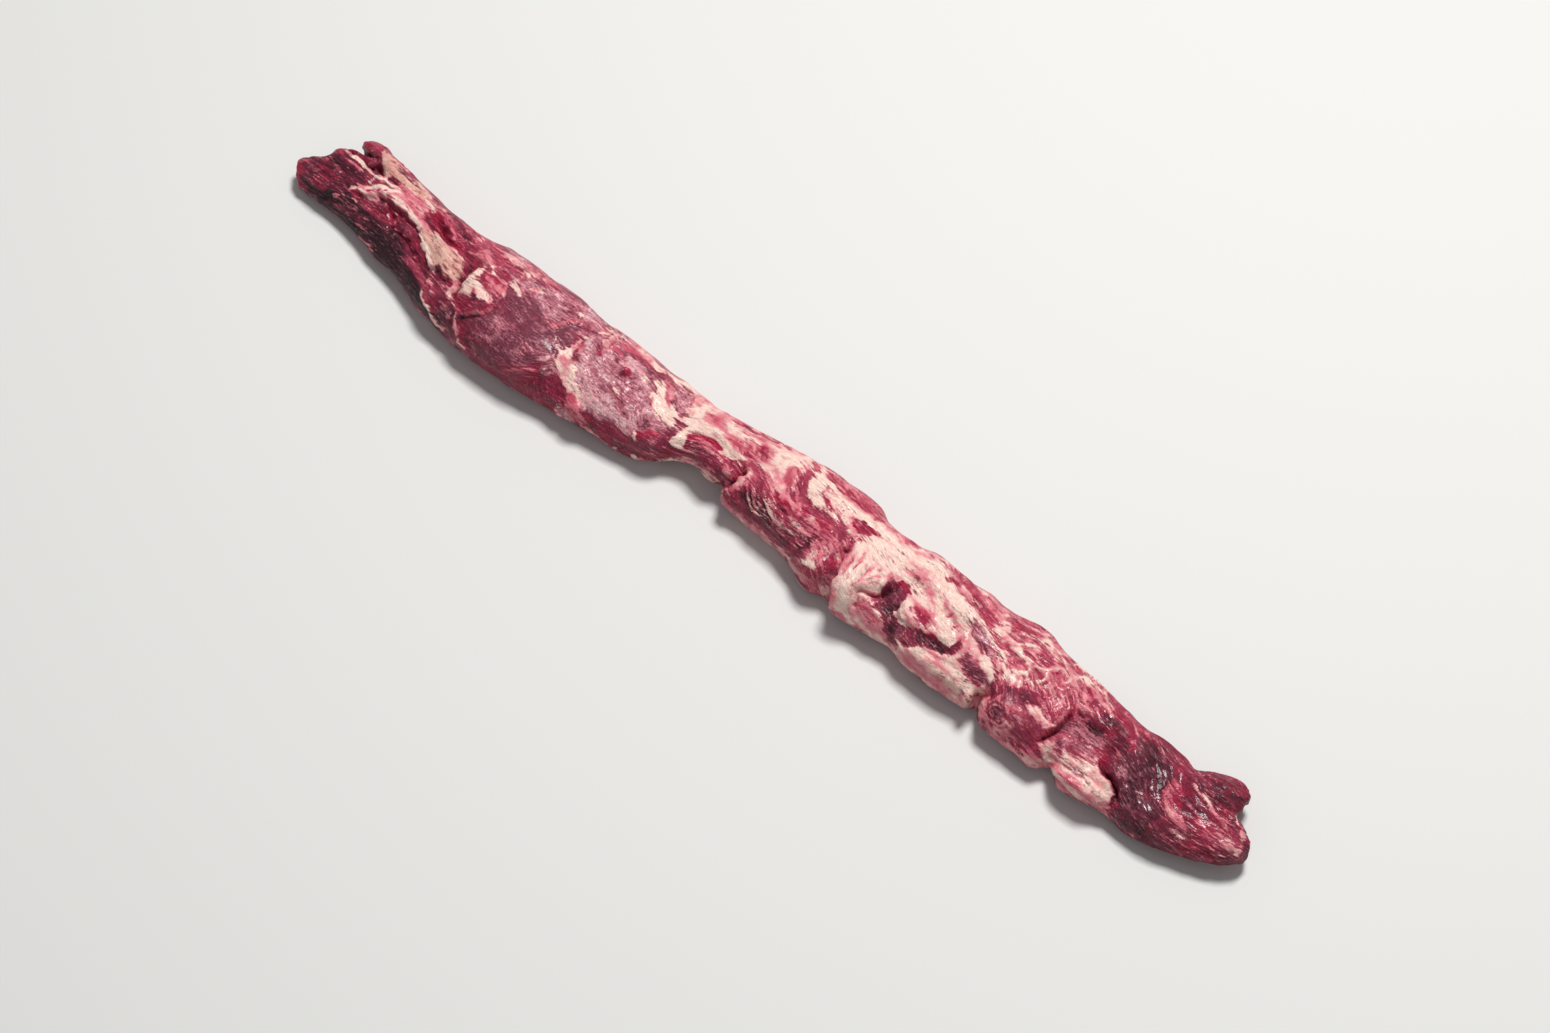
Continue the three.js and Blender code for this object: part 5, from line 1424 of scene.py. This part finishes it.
# %% [markdown]
# ## The run of the grain
# The finest grain is too small for the mesh, so the material draws it. For that it needs two lengths at
# each place: how far along the fibres it lies, and how far across. They are found by asking which smooth
# field rises along the fibres everywhere, which a Fourier transform answers in one step.
# %% Lengths along and across the fibres
def rising(slope_x, slope_y):
    """The field whose slope comes closest to the one given."""
    shape = (2 * PLAN_SHAPE[0], 2 * PLAN_SHAPE[1])
    kx = 2j * np.pi * np.fft.fftfreq(shape[1], CELL)[None]
    ky = 2j * np.pi * np.fft.fftfreq(shape[0], CELL)[:, None]
    mean_x, mean_y = slope_x.mean(), slope_y.mean()
    sx, sy = slope_x - mean_x, slope_y - mean_y
    mirrored_x = np.block([[sx, -sx[:, ::-1]], [sx[::-1], -sx[::-1, ::-1]]])
    mirrored_y = np.block([[sy, sy[:, ::-1]], [-sy[::-1], -sy[::-1, ::-1]]])
    square = kx**2 + ky**2
    square[0, 0] = 1
    spectrum = (kx * np.fft.fft2(mirrored_x) + ky * np.fft.fft2(mirrored_y)) / square
    field = np.fft.ifft2(spectrum).real[: PLAN_SHAPE[0], : PLAN_SHAPE[1]]
    return field + mean_x * PLAN_X + mean_y * PLAN_Y


makings["along"] = rising(np.cos(fibre_angle), np.sin(fibre_angle))
makings["across"] = rising(-np.sin(fibre_angle), np.cos(fibre_angle))
steps = np.gradient(makings["across"], CELL)
print("a millimetre across the fibres counts as", round(float(np.hypot(*steps).mean()), 2))

# %% [markdown]
# ## The side that lies away
# The far flank and the underside can't be seen from the cook's side, but the strip is turned over when it is
# trimmed. There it is plainer: lean that runs from end to end, silver skin in patches, and two long seams of
# fat where the muscles meet. These are laid out by the length along the strip and the length round it.
# %% Makeup of the hidden side
HIDDEN_MAKEUP = {
    "fat": [
        [-250, 0.05], [-215, 0.1], [-160, 0.3], [-110, 0.42], [-60, 0.62], [-20, 0.55], [20, 0.38], [60, 0.5],
        [105, 0.45], [150, 0.3], [180, 0.1], [245, 0],
    ],
    "pink": [[-250, 0.7], [-110, 0.75], [-40, 0.5], [60, 0.45], [150, 0.6], [245, 0.8]],
    "silver": [
        [-250, 0], [-190, 0.1], [-150, 0.6], [-90, 0.7], [-40, 0.35], [20, 0.1], [110, 0.2], [160, 0.5],
        [200, 0.35], [245, 0.1],
    ],
    "pale": [[-250, 0.4], [-100, 0.7], [0, 0.6], [245, 0.45]],
    "dark": [[-250, 0.5], [-150, 0.45], [0, 0.3], [120, 0.35], [180, 0.7], [245, 0.6]],
    "fresh": [[-250, 0.3], [-150, 0.2], [20, 0.4], [120, 0.4], [245, 0.25]],
}
FAT_SEAMS = [
    [[-250, 30], [-190, 34], [-120, 30], [-60, 36], [0, 31], [60, 37], [130, 33], [200, 38], [245, 35]],
    [[-250, 62], [-200, 57], [-130, 66], [-70, 60], [-10, 67], [70, 61], [140, 66], [210, 58], [245, 60]],
]
SEAM_HALF_WIDTH = 3.4
ROUND_SCALE = 0.72


def hidden_makings(x, round_length):
    """The makings of the hidden side, by place along the strip and length round it from the crest."""
    y = PLAN_LOW[1] + ROUND_SCALE * round_length
    streaks = sample(cloud(31, 22, 1.8), x, y)
    wide = sample(cloud(32, 55, 6), x, y)
    spots = sample(cloud(33, 8, 6), x, y)
    found = {name: along(profile, x) for name, profile in HIDDEN_MAKEUP.items()}
    seam = np.zeros(x.shape)
    for line in FAT_SEAMS:
        away = np.abs(round_length - along(line, x) - 2 * wide)
        seam = np.maximum(seam, np.exp(-((away / (SEAM_HALF_WIDTH * (1 + 0.35 * spots))) ** 2)))
    found["fat"] += 0.6 * seam + 0.2 * streaks + 0.12 * wide + 0.06 * spots
    found["pink"] += 0.25 * spots - 0.35 * seam
    found["silver"] *= 1 + 0.5 * wide + 0.3 * spots
    found["dark"] += 0.16 * wide + 0.12 * streaks
    found["fresh"] += 0.15 * spots
    found["tendon"] = 0.5 * ease(1.2, 2, wide)
    found["wet"] = 0.25 * ease(0.2, 1.4, spots)
    found["fibre"] = sample(cloud(34, 9, 0.9), x, y)
    found["knots"] = sample(cloud(35, 7, 4), x, y)
    return found


print("the hidden side has", len(FAT_SEAMS), "seams of fat")

# %% [markdown]
# ## The mesh
# The strip is a loft: rings of points from head to tail, with the points of each ring evenly spaced round
# it. Each point then moves along the plain body's normal by the relief on the plan. A subdivided and
# sculpted mesh could give the same, but a loft keeps every detail tied to its numbers.
# %% Rings of points
RINGS = 640
TOP_SIDES = 112
BOTTOM_SIDES = 40
END_RINGS = 14
SLOPE_STEP = 1
TURN_STEP = 0.02

near_end = END_ROUNDING * (np.arange(END_RINGS) / END_RINGS) ** 2
ring_x = np.concatenate([
    HEAD_X + near_end,
    np.linspace(HEAD_X + END_ROUNDING, TAIL_X - END_ROUNDING, RINGS - 2 * END_RINGS),
    TAIL_X - near_end[::-1],
])


def even_turns(x, start, end, count):
    """Turns round each ring that give steps of equal length, and the length of skin passed at each."""
    turns = np.linspace(start, end, 500)
    points = plain_points(x[:, None], turns[None])
    steps = np.linalg.norm(np.diff(points, axis=1), axis=2)
    lengths = np.concatenate([np.zeros((len(x), 1)), np.cumsum(steps, axis=1)], axis=1)
    wanted = np.arange(count) / count
    even = np.array([np.interp(wanted * row[-1], row, turns) for row in lengths])
    return even, wanted * lengths[:, -1:], lengths[:, -1:]


top_turn, top_length, top_whole = even_turns(ring_x, 0, np.pi, TOP_SIDES)
bottom_turn, bottom_length, _ = even_turns(ring_x, np.pi, 2 * np.pi, BOTTOM_SIDES)
turn = np.hstack([top_turn, bottom_turn])
round_length = np.hstack([np.maximum(top_length - top_whole / 2, 0), top_whole / 2 + bottom_length])
x = np.repeat(ring_x[:, None], turn.shape[1], axis=1)
print("the mesh has", turn.size, "points, about", round(float(top_whole.mean()) / TOP_SIDES, 2), "mm apart")

# %% [markdown]
# ## Moving the skin
# Each point asks the plan for its relief and moves along the normal by it. The side that lies away has no
# plan, so it gets long waves and knots instead, and the two are blended where the skin turns.
# %% Displace the skin
WAVES = [[91, 2, 0.45], [53, -3, 0.35], [31, 4, 0.25]]
TURNED_TO_VIEW = 0.35
RAGGED = 1.4

points = plain_points(x, turn)
slope_along = plain_points(x + SLOPE_STEP, turn) - plain_points(x - SLOPE_STEP, turn)
slope_round = plain_points(x, turn + TURN_STEP) - plain_points(x, turn - TURN_STEP)
normal = np.cross(slope_along, slope_round)
normal /= np.linalg.norm(normal, axis=2, keepdims=True)
seen = ease(0, TURNED_TO_VIEW, normal @ VIEW)
broad_relief = blur(relief, 8, 8)
plan_place = on_plan(points)
for _ in range(2):
    risen = points + normal * (seen * sample(broad_relief, plan_place[..., 0], plan_place[..., 1]))[..., None]
    plan_place = on_plan(risen)
hidden = hidden_makings(x, round_length)
wave = sum(rise * np.sin(2 * np.pi * x / length + count * turn) for length, count, rise in WAVES)
hidden_relief = wave + 0.25 * ease(0.3, 0.8, hidden["fat"]) + 0.1 * hidden["fibre"] + 0.3 * hidden["knots"]
stands_free = 1 - ease(0.3, 0.8, -normal[..., 2])
seen_relief = sample(relief, plan_place[..., 0], plan_place[..., 1])
height = seen * seen_relief + (1 - seen) * stands_free * hidden_relief
points += normal * height[..., None]
torn, nicked = (
    sample(cloud(seed, 7, 7), often * points[..., 1], 0.7 * often * points[..., 2])
    for seed, often in ((41, 2), (42, 5))
)
ragged = 1.2 * ease(-1.5, 1.5, torn) + 0.35 * ease(-1.5, 1.5, nicked)
points[..., 0] += RAGGED * ragged * ((1 - ease(HEAD_X, HEAD_X + 12, x)) - ease(TAIL_X - 6, TAIL_X, x))
points[..., 2] = np.maximum(points[..., 2], along(UNDERSIDE, x))
points = points.clip(solid_low, solid_high)
print("the skin moved by", round(float(height.min()), 1), "to", round(float(height.max()), 1), "mm")

# %% [markdown]
# ## Torn ends
# A muscle that is torn off has no cap: its upper and lower skins meet in a low ragged wall. Each end ring is
# zipped shut from the near side to the far side, always joining the two nearest points.
# %% Faces
rings, sides = turn.shape
index = np.arange(rings * sides).reshape(rings, sides)
ahead = np.roll(index, -1, axis=1)
faces = np.stack([index[:-1], index[1:], ahead[1:], ahead[:-1]], -1).reshape(-1, 4).tolist()
flat_points = points.reshape(-1, 3)


def zip_end(ring, at_tail):
    """Triangles between the top and the underside of an end ring."""
    top = [*ring[: TOP_SIDES + 1]]
    bottom = [ring[0], *ring[: TOP_SIDES - 1 : -1]]
    made, i, k = [], 0, 0
    while i + 1 < len(top) or k + 1 < len(bottom):
        top_is_next = k + 1 == len(bottom) or (
            i + 1 < len(top) and flat_points[top[i + 1]][1] <= flat_points[bottom[k + 1]][1]
        )
        face = [top[i], top[i + 1] if top_is_next else bottom[k + 1], bottom[k]]
        if len(set(face)) == 3:
            made.append([int(v) for v in (face[::-1] if at_tail else face)])
        i, k = (i + 1, k) if top_is_next else (i, k + 1)
    return made


faces += zip_end(index[0], False) + zip_end(index[-1], True)
mesh = bpy.data.meshes.new("steak_body")
mesh.from_pydata((flat_points * METRES).tolist(), [], faces)
mesh.shade_smooth()
print("the skin has", len(faces), "faces")

# %% [markdown]
# ## Makings on the mesh
# The plan's makings are carried to the mesh as plain number attributes, one value at each point. The
# material reads them by name. Where the skin turns away from view, the hidden side's makings take over.
# %% Attributes
for name, plan_field in makings.items():
    on_view = sample(plan_field, plan_place[..., 0], plan_place[..., 1])
    value = seen * on_view + (1 - seen) * hidden[name] if name in hidden else on_view
    attribute = mesh.attributes.new(name, "FLOAT", "POINT")
    attribute.data.foreach_set("value", value.ravel().astype(np.float32))
for name, value in {"seen": seen, "lengthwise": x, "round": round_length}.items():
    attribute = mesh.attributes.new(name, "FLOAT", "POINT")
    attribute.data.foreach_set("value", value.ravel().astype(np.float32))
steak = bpy.data.objects.new("steak_body", mesh)
bpy.context.collection.objects.link(steak)
print("carried over", len(mesh.attributes), "attributes")

# %% [markdown]
# ## The flesh
# Raw flesh is wet and a little see-through: light goes in, scatters and comes out redder. The material mixes
# the lean first, from bright to dusky, then lays silver skin, fat and tendon over it. Every edge between
# them is broken by fine grain, which is what keeps it from looking painted.
# %% Helpers for nodes
def linear(red, green, blue):
    """A colour given as a screen shows it, turned into amounts of light."""
    return tuple(((v / 255 + 0.055) / 1.055) ** 2.4 if v > 10 else v / 255 / 12.92 for v in (red, green, blue))


beef = bpy.data.materials.new("raw_beef")
beef.use_nodes = True
nodes, links = beef.node_tree.nodes, beef.node_tree.links
shader = nodes["Principled BSDF"]


def connect(value, socket):
    """Links an output to a socket, or sets the socket to a plain number or colour."""
    if isinstance(value, bpy.types.NodeSocket):
        links.new(value, socket)
    elif isinstance(value, tuple) and len(socket.default_value) == 4:
        socket.default_value = (*value, 1)
    else:
        socket.default_value = value


def read(name):
    node = nodes.new("ShaderNodeAttribute")
    node.attribute_type = "GEOMETRY"
    node.attribute_name = name
    return node.outputs["Fac"]


def sums(operation, *values):
    """Arithmetic on numbers or node outputs."""
    node = nodes.new("ShaderNodeMath")
    node.operation = operation
    for value, socket in zip(values, node.inputs):
        connect(value, socket)
    return node.outputs[0]


def ramp(value, low, high, to_low=0.0, to_high=1.0):
    """A soft ramp from one value to another, as ease does for arrays."""
    node = nodes.new("ShaderNodeMapRange")
    node.interpolation_type = "SMOOTHSTEP"
    for v, socket in zip((value, low, high, to_low, to_high), node.inputs):
        connect(v, socket)
    return node.outputs[0]


def mix(share, under, over, way="MIX"):
    """A colour between two others."""
    node = nodes.new("ShaderNodeMix")
    node.data_type = "RGBA"
    node.blend_type = way
    connect(share, node.inputs["Factor"])
    connect(under, node.inputs[6])
    connect(over, node.inputs[7])
    return node.outputs[2]


def noise(place, size, detail=2.0, roughness=0.5):
    """A cloudy field between 0 and 1 with patches of about the given size, in the units of place."""
    node = nodes.new("ShaderNodeTexNoise")
    connect(place, node.inputs["Vector"])
    connect(1 / size, node.inputs["Scale"])
    connect(detail, node.inputs["Detail"])
    connect(roughness, node.inputs["Roughness"])
    return node.outputs["Fac"]


def place_of(lengthwise, crosswise, shorten):
    """A place whose first length is shortened, so that noise on it makes streaks."""
    node = nodes.new("ShaderNodeCombineXYZ")
    connect(sums("MULTIPLY", lengthwise, shorten), node.inputs[0])
    connect(crosswise, node.inputs[1])
    return node.outputs[0]


print("the flesh starts from", shader.name)

# %% [markdown]
# ## The finest grain
# Threads thinner than the mesh come from noise that is stretched along the fibres. Hairs are the places
# where a noise field crosses one level, which gives thin lines that wander and end.
# %% Fine grain
FINE, COARSE, STRETCH = 0.55, 1.4, 0.22


def centred(value):
    """Noise from 0 to 1 turned into about -1 to 1."""
    return sums("MULTIPLY_ADD", value, 4.0, -2.0)


def grain_of(size, shorten=STRETCH, detail=3.0):
    """Streaky noise along the fibres, on both sides of the strip."""
    both = nodes.new("ShaderNodeMix")
    connect(read("seen"), both.inputs[0])
    connect(noise(place_of(read("lengthwise"), read("round"), shorten), size, detail, 0.6), both.inputs[2])
    connect(noise(place_of(read("along"), read("across"), shorten), size, detail, 0.6), both.inputs[3])
    return centred(both.outputs[0])


def hairs_of(size, level):
    """Thin wandering lines along the fibres: 0.8 on a line and a little below nothing elsewhere."""
    off_line = sums("ABSOLUTE", sums("SUBTRACT", grain_of(size, 0.11, 1.0), level))
    return ramp(off_line, 0.0, 0.42, 0.8, -0.22)


def weigh(*pairs):
    """A sum of fields, each times its own weight."""
    total = None
    for field, weight in pairs:
        term = field if weight == 1 else sums("MULTIPLY", field, weight)
        total = term if total is None else sums("ADD", total, term)
    return total


object_place = nodes.new("ShaderNodeTexCoord").outputs["Object"]
fine, coarse = grain_of(FINE), grain_of(COARSE)
pale_hairs, red_hairs = hairs_of(2.6, 0.2), hairs_of(2.2, -0.3)
speck = centred(noise(object_place, 0.0009, 3.0, 0.65))
blotch = centred(noise(object_place, 0.004, 3.0, 0.6))
print("the grain is", FINE, "and", COARSE, "mm across the fibres")

# %% [markdown]
# ## Colours of the flesh
# Each colour was matched to the meat: cold burgundy lean, nearly black where it is darkest and in painted
# shade, raspberry where it was cut last, mauve under silver skin, and fat from cream to a blushing pink. Fine
# pale filaments cross the lean and thin red ones cross the fat, because neither is ever pure. Fat blushes
# where it is thin.
# %% Lean and silver skin
BRIGHT = linear(180, 76, 97)
LEAN = linear(138, 40, 66)
DARK = linear(80, 21, 40)
DARKEST_LEAN_AND_PAINTED_SHADE = linear(44, 15, 26)
FRESH = linear(160, 20, 58)
MAUVE = linear(114, 50, 67)
PALE_MAUVE = linear(188, 117, 129)
SHEEN = linear(226, 184, 187)
CREAM = linear(241, 207, 194)
BLUSH = linear(216, 126, 136)
ROSE = linear(188, 72, 94)
GRISTLE = linear(214, 162, 146)

fat, pink, silver, dark, fresh = read("fat"), read("pink"), read("silver"), read("dark"), read("fresh")
broken = weigh((coarse, 0.4), (fine, 0.34), (speck, 0.2), (pale_hairs, 0.24), (red_hairs, -0.3))
fat_share = sums("MULTIPLY_ADD", broken, ramp(fat, 0.6, 1.3, 1.0, 0.6), fat)
fat_mask = ramp(fat_share, 0.04, 0.98)
silver_share = weigh((silver, 1), (coarse, 0.2), (fine, 0.16), (speck, 0.12), (blotch, 0.15))
silver_mask = ramp(silver_share, 0.0, 1.0)
dark_share = weigh((dark, 1), (coarse, 0.45), (fine, 0.4), (speck, 0.2))
lean = mix(ramp(dark_share, -0.8, 0.15), BRIGHT, LEAN)
lean = mix(ramp(dark_share, 0.1, 1.0), lean, DARK)
# The darkest share turns near black: the darkest lean, and the painted shade of creases, hollows and the near
# flank
lean = mix(ramp(dark_share, 0.9, 1.6), lean, DARKEST_LEAN_AND_PAINTED_SHADE)
lean = mix(ramp(weigh((fresh, 1), (speck, 0.16), (coarse, 0.16)), 0.0, 1.1), lean, FRESH)
filament = ramp(weigh((fine, 0.9), (coarse, 0.3), (speck, 0.3), (pale_hairs, 0.7)), 0.3, 1.2)
paleness = sums("MULTIPLY", ramp(dark, 0.6, 1.5, 0.45, 0.24), ramp(fresh, 0.4, 1.0, 1.0, 0.4))
lean = mix(sums("MULTIPLY", filament, paleness), lean, BLUSH)
cloudy = weigh((read("pale"), 1), (blotch, 0.24), (fine, 0.4), (coarse, 0.3), (speck, 0.2))
skin = mix(ramp(cloudy, 0.0, 1.1), MAUVE, PALE_MAUVE)
bright = weigh((read("pale"), 1), (coarse, 0.35), (fine, 0.35), (speck, 0.25))
skin = mix(ramp(bright, 0.9, 1.8, 0.0, 0.9), skin, SHEEN)
flesh = mix(sums("MULTIPLY", silver_mask, 0.9), lean, skin)
print("lean and skin mix", len(nodes), "nodes")

# %% [markdown]
# ## Fat and tendon
# Fat is cream where it is thick and blushes where lean shines through; in hollows and on the side turned from
# the light its blush is painted warm shade. Thin red veins cross it, and tendon turns it a dull tan, as the
# painted warm shade of the near side does too. It covers the lean by a mask whose edge is broken by the grain.
# %% Fat and tendon
thinness = ramp(weigh((fat, 0.75), (fat_share, 0.25)), 0.15, 0.9, 0.8, 0.0)
pink_share = weigh((pink, 1), (thinness, 1), (blotch, 0.24), (coarse, 0.16), (fine, 0.12), (speck, 0.1))
fat_colour = mix(ramp(pink_share, 0.0, 1.0), CREAM, BLUSH)
fat_colour = mix(ramp(pink_share, 0.85, 1.7), fat_colour, ROSE)
fat_colour = mix(sums("MULTIPLY", ramp(read("tendon"), 0.2, 0.9), 0.85), fat_colour, GRISTLE)
veins = ramp(weigh((fine, -0.3), (coarse, -0.3), (speck, 0.4), (blotch, 0.6), (red_hairs, 0.8)), 0.4, 1.1)
fat_colour = mix(sums("MULTIPLY", veins, 0.34), fat_colour, ROSE)
flesh = mix(fat_mask, flesh, fat_colour)
shade = nodes.new("ShaderNodeHueSaturation")
mottling = weigh((coarse, 0.1), (fine, 0.44), (speck, 0.4), (pale_hairs, 0.14))
connect(sums("MULTIPLY_ADD", mottling, ramp(fat_mask, 0.5, 1.0, 1.0, 0.5), 1.0), shade.inputs["Value"])
connect(flesh, shade.inputs["Color"])
connect(shade.outputs[0], shader.inputs["Base Color"])
print("the flesh mixes", len(nodes), "nodes")

# %% [markdown]
# ## Gloss and softness
# Lean is glossier than fat, silver skin glossier still, and juice makes the wettest places shine sharply.
# Fine bumps break the gloss into small glints along the fibres.
# %% Gloss
roughness = weigh((ramp(fat_mask, 0.0, 1.0, 0.44, 0.5), 1), (silver_mask, -0.04), (speck, 0.05))
connect(roughness, shader.inputs["Roughness"])
moisture = weigh((ramp(read("wet"), 0.1, 1.0, 0.2, 0.9), 1), (speck, 0.16), (blotch, 0.16))
moisture = sums("MULTIPLY", moisture, ramp(dark, 0.9, 1.7, 1.0, 0.35))
connect(moisture, shader.inputs["Coat Weight"])
shader.inputs["Specular IOR Level"].default_value = 0.28
shader.inputs["Coat Roughness"].default_value = 0.12
shader.inputs["Coat IOR"].default_value = 1.36
shader.inputs["IOR"].default_value = 1.4
shader.inputs["Subsurface Weight"].default_value = 0.12
shader.inputs["Subsurface Radius"].default_value = (1.0, 0.3, 0.25)
shader.inputs["Subsurface Scale"].default_value = 0.0009
bump = nodes.new("ShaderNodeBump")
bump.inputs["Strength"].default_value = 1.0
bump.inputs["Distance"].default_value = 0.0002
fibre_height = sums("MULTIPLY", weigh((fine, 0.8), (coarse, 0.8)), ramp(fat_mask, 0.0, 1.0, 1.0, 0.5))
skin_flatness = ramp(silver_mask, 0.2, 1.0, 1.0, 0.45)
fine_height = weigh((sums("MULTIPLY", fibre_height, skin_flatness), 1), (speck, 0.8), (blotch, 0.8))
connect(fine_height, bump.inputs["Height"])
connect(bump.outputs[0], shader.inputs["Normal"])
mesh.materials.append(beef)
print("gloss is set, with a coat that is rougher than glass at", shader.inputs["Coat Roughness"].default_value)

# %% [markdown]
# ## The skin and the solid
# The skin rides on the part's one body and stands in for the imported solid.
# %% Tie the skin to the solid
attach(steak, "root")
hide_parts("steak")
print("the skin stands for the solid:", steak.name)

# %% [markdown]
# ## Camera, floor and light
# The camera looks steeply down from the near side. One large soft light stands behind and above, as a window
# would, so that the strip's far side glows and its near flank falls into shade.
# %% Camera
AIM = np.array([15.0, -4.25, 10.0]) * METRES
AZIMUTH = math.radians(40)
ELEVATION = math.radians(60)
DISTANCE = 1.464
LENS, SENSOR = 85, 36
back = np.array([
    math.sin(AZIMUTH) * math.cos(ELEVATION), -math.cos(AZIMUTH) * math.cos(ELEVATION), math.sin(ELEVATION),
])
camera_data = bpy.data.cameras.new("camera")
camera_data.lens = LENS
camera_data.sensor_width = SENSOR
camera = bpy.data.objects.new("camera", camera_data)
camera.location = AIM + DISTANCE * back
camera.rotation_euler = (math.pi / 2 - ELEVATION, 0, AZIMUTH)
bpy.context.collection.objects.link(camera)
bpy.context.scene.camera = camera
print("the camera stands at", [round(v, 3) for v in camera.location])

# %% [markdown]
# ## The floor
# A plain pale floor catches a soft shadow and leaves the meat as the only colour in the picture.
# %% Floor
floor_mesh = bpy.data.meshes.new("floor")
FLOOR_HALF = 6.0
floor_mesh.from_pydata(
    [(x * FLOOR_HALF, y * FLOOR_HALF, 0) for x, y in ((-1, -1), (1, -1), (1, 1), (-1, 1))], [], [(0, 1, 2, 3)],
)
floor = bpy.data.objects.new("floor", floor_mesh)
bpy.context.collection.objects.link(floor)
pale = bpy.data.materials.new("pale_floor")
pale.use_nodes = True
pale.node_tree.nodes["Principled BSDF"].inputs["Base Color"].default_value = (*linear(214, 214, 212), 1)
pale.node_tree.nodes["Principled BSDF"].inputs["Roughness"].default_value = 0.75
floor_mesh.materials.append(pale)
floor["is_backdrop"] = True
print("the floor is", 2 * FLOOR_HALF, "m wide")

# %% [markdown]
# ## The lights
# A lamp as large as a window, close by, gives soft edges to the shadows and small bright glints on wet
# flesh. A weak, broad fill from the near side keeps the flank from going black.
# %% Lights
def soft_light(name, toward, distance, size, watts, colour=(1, 1, 1)):
    """A square lamp that looks at the strip from a direction."""
    data = bpy.data.lights.new(name, "AREA")
    data.size = size
    data.energy = watts
    data.color = colour
    lamp = bpy.data.objects.new(name, data)
    way = np.array(toward, float)
    way /= np.linalg.norm(way)
    lamp.location = AIM + distance * way
    lamp.rotation_euler = (math.acos(way[2]), 0, math.atan2(way[1], way[0]) + math.pi / 2)
    bpy.context.collection.objects.link(lamp)
    return lamp


soft_light("window", (-0.02, 0.38, 1.0), 1.8, 0.42, 34, (1.0, 0.985, 0.97))
soft_light("fill", (0.4, -1.0, 0.9), 2.2, 1.6, 2.2)
world = bpy.data.worlds.new("room")
world.use_nodes = True
world.node_tree.nodes["Background"].inputs["Color"].default_value = (0.95, 0.97, 1.0, 1)
world.node_tree.nodes["Background"].inputs["Strength"].default_value = 0.26
bpy.context.scene.world = world
bpy.context.scene.view_settings.view_transform = "Standard"
bpy.context.scene.view_settings.look = "None"

visual_box = [list(corner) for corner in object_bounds()]
for name, box in {"solid": cad_box, "skin": visual_box}.items():
    print(name, "box:", [[round(v, 4) for v in corner] for corner in box])
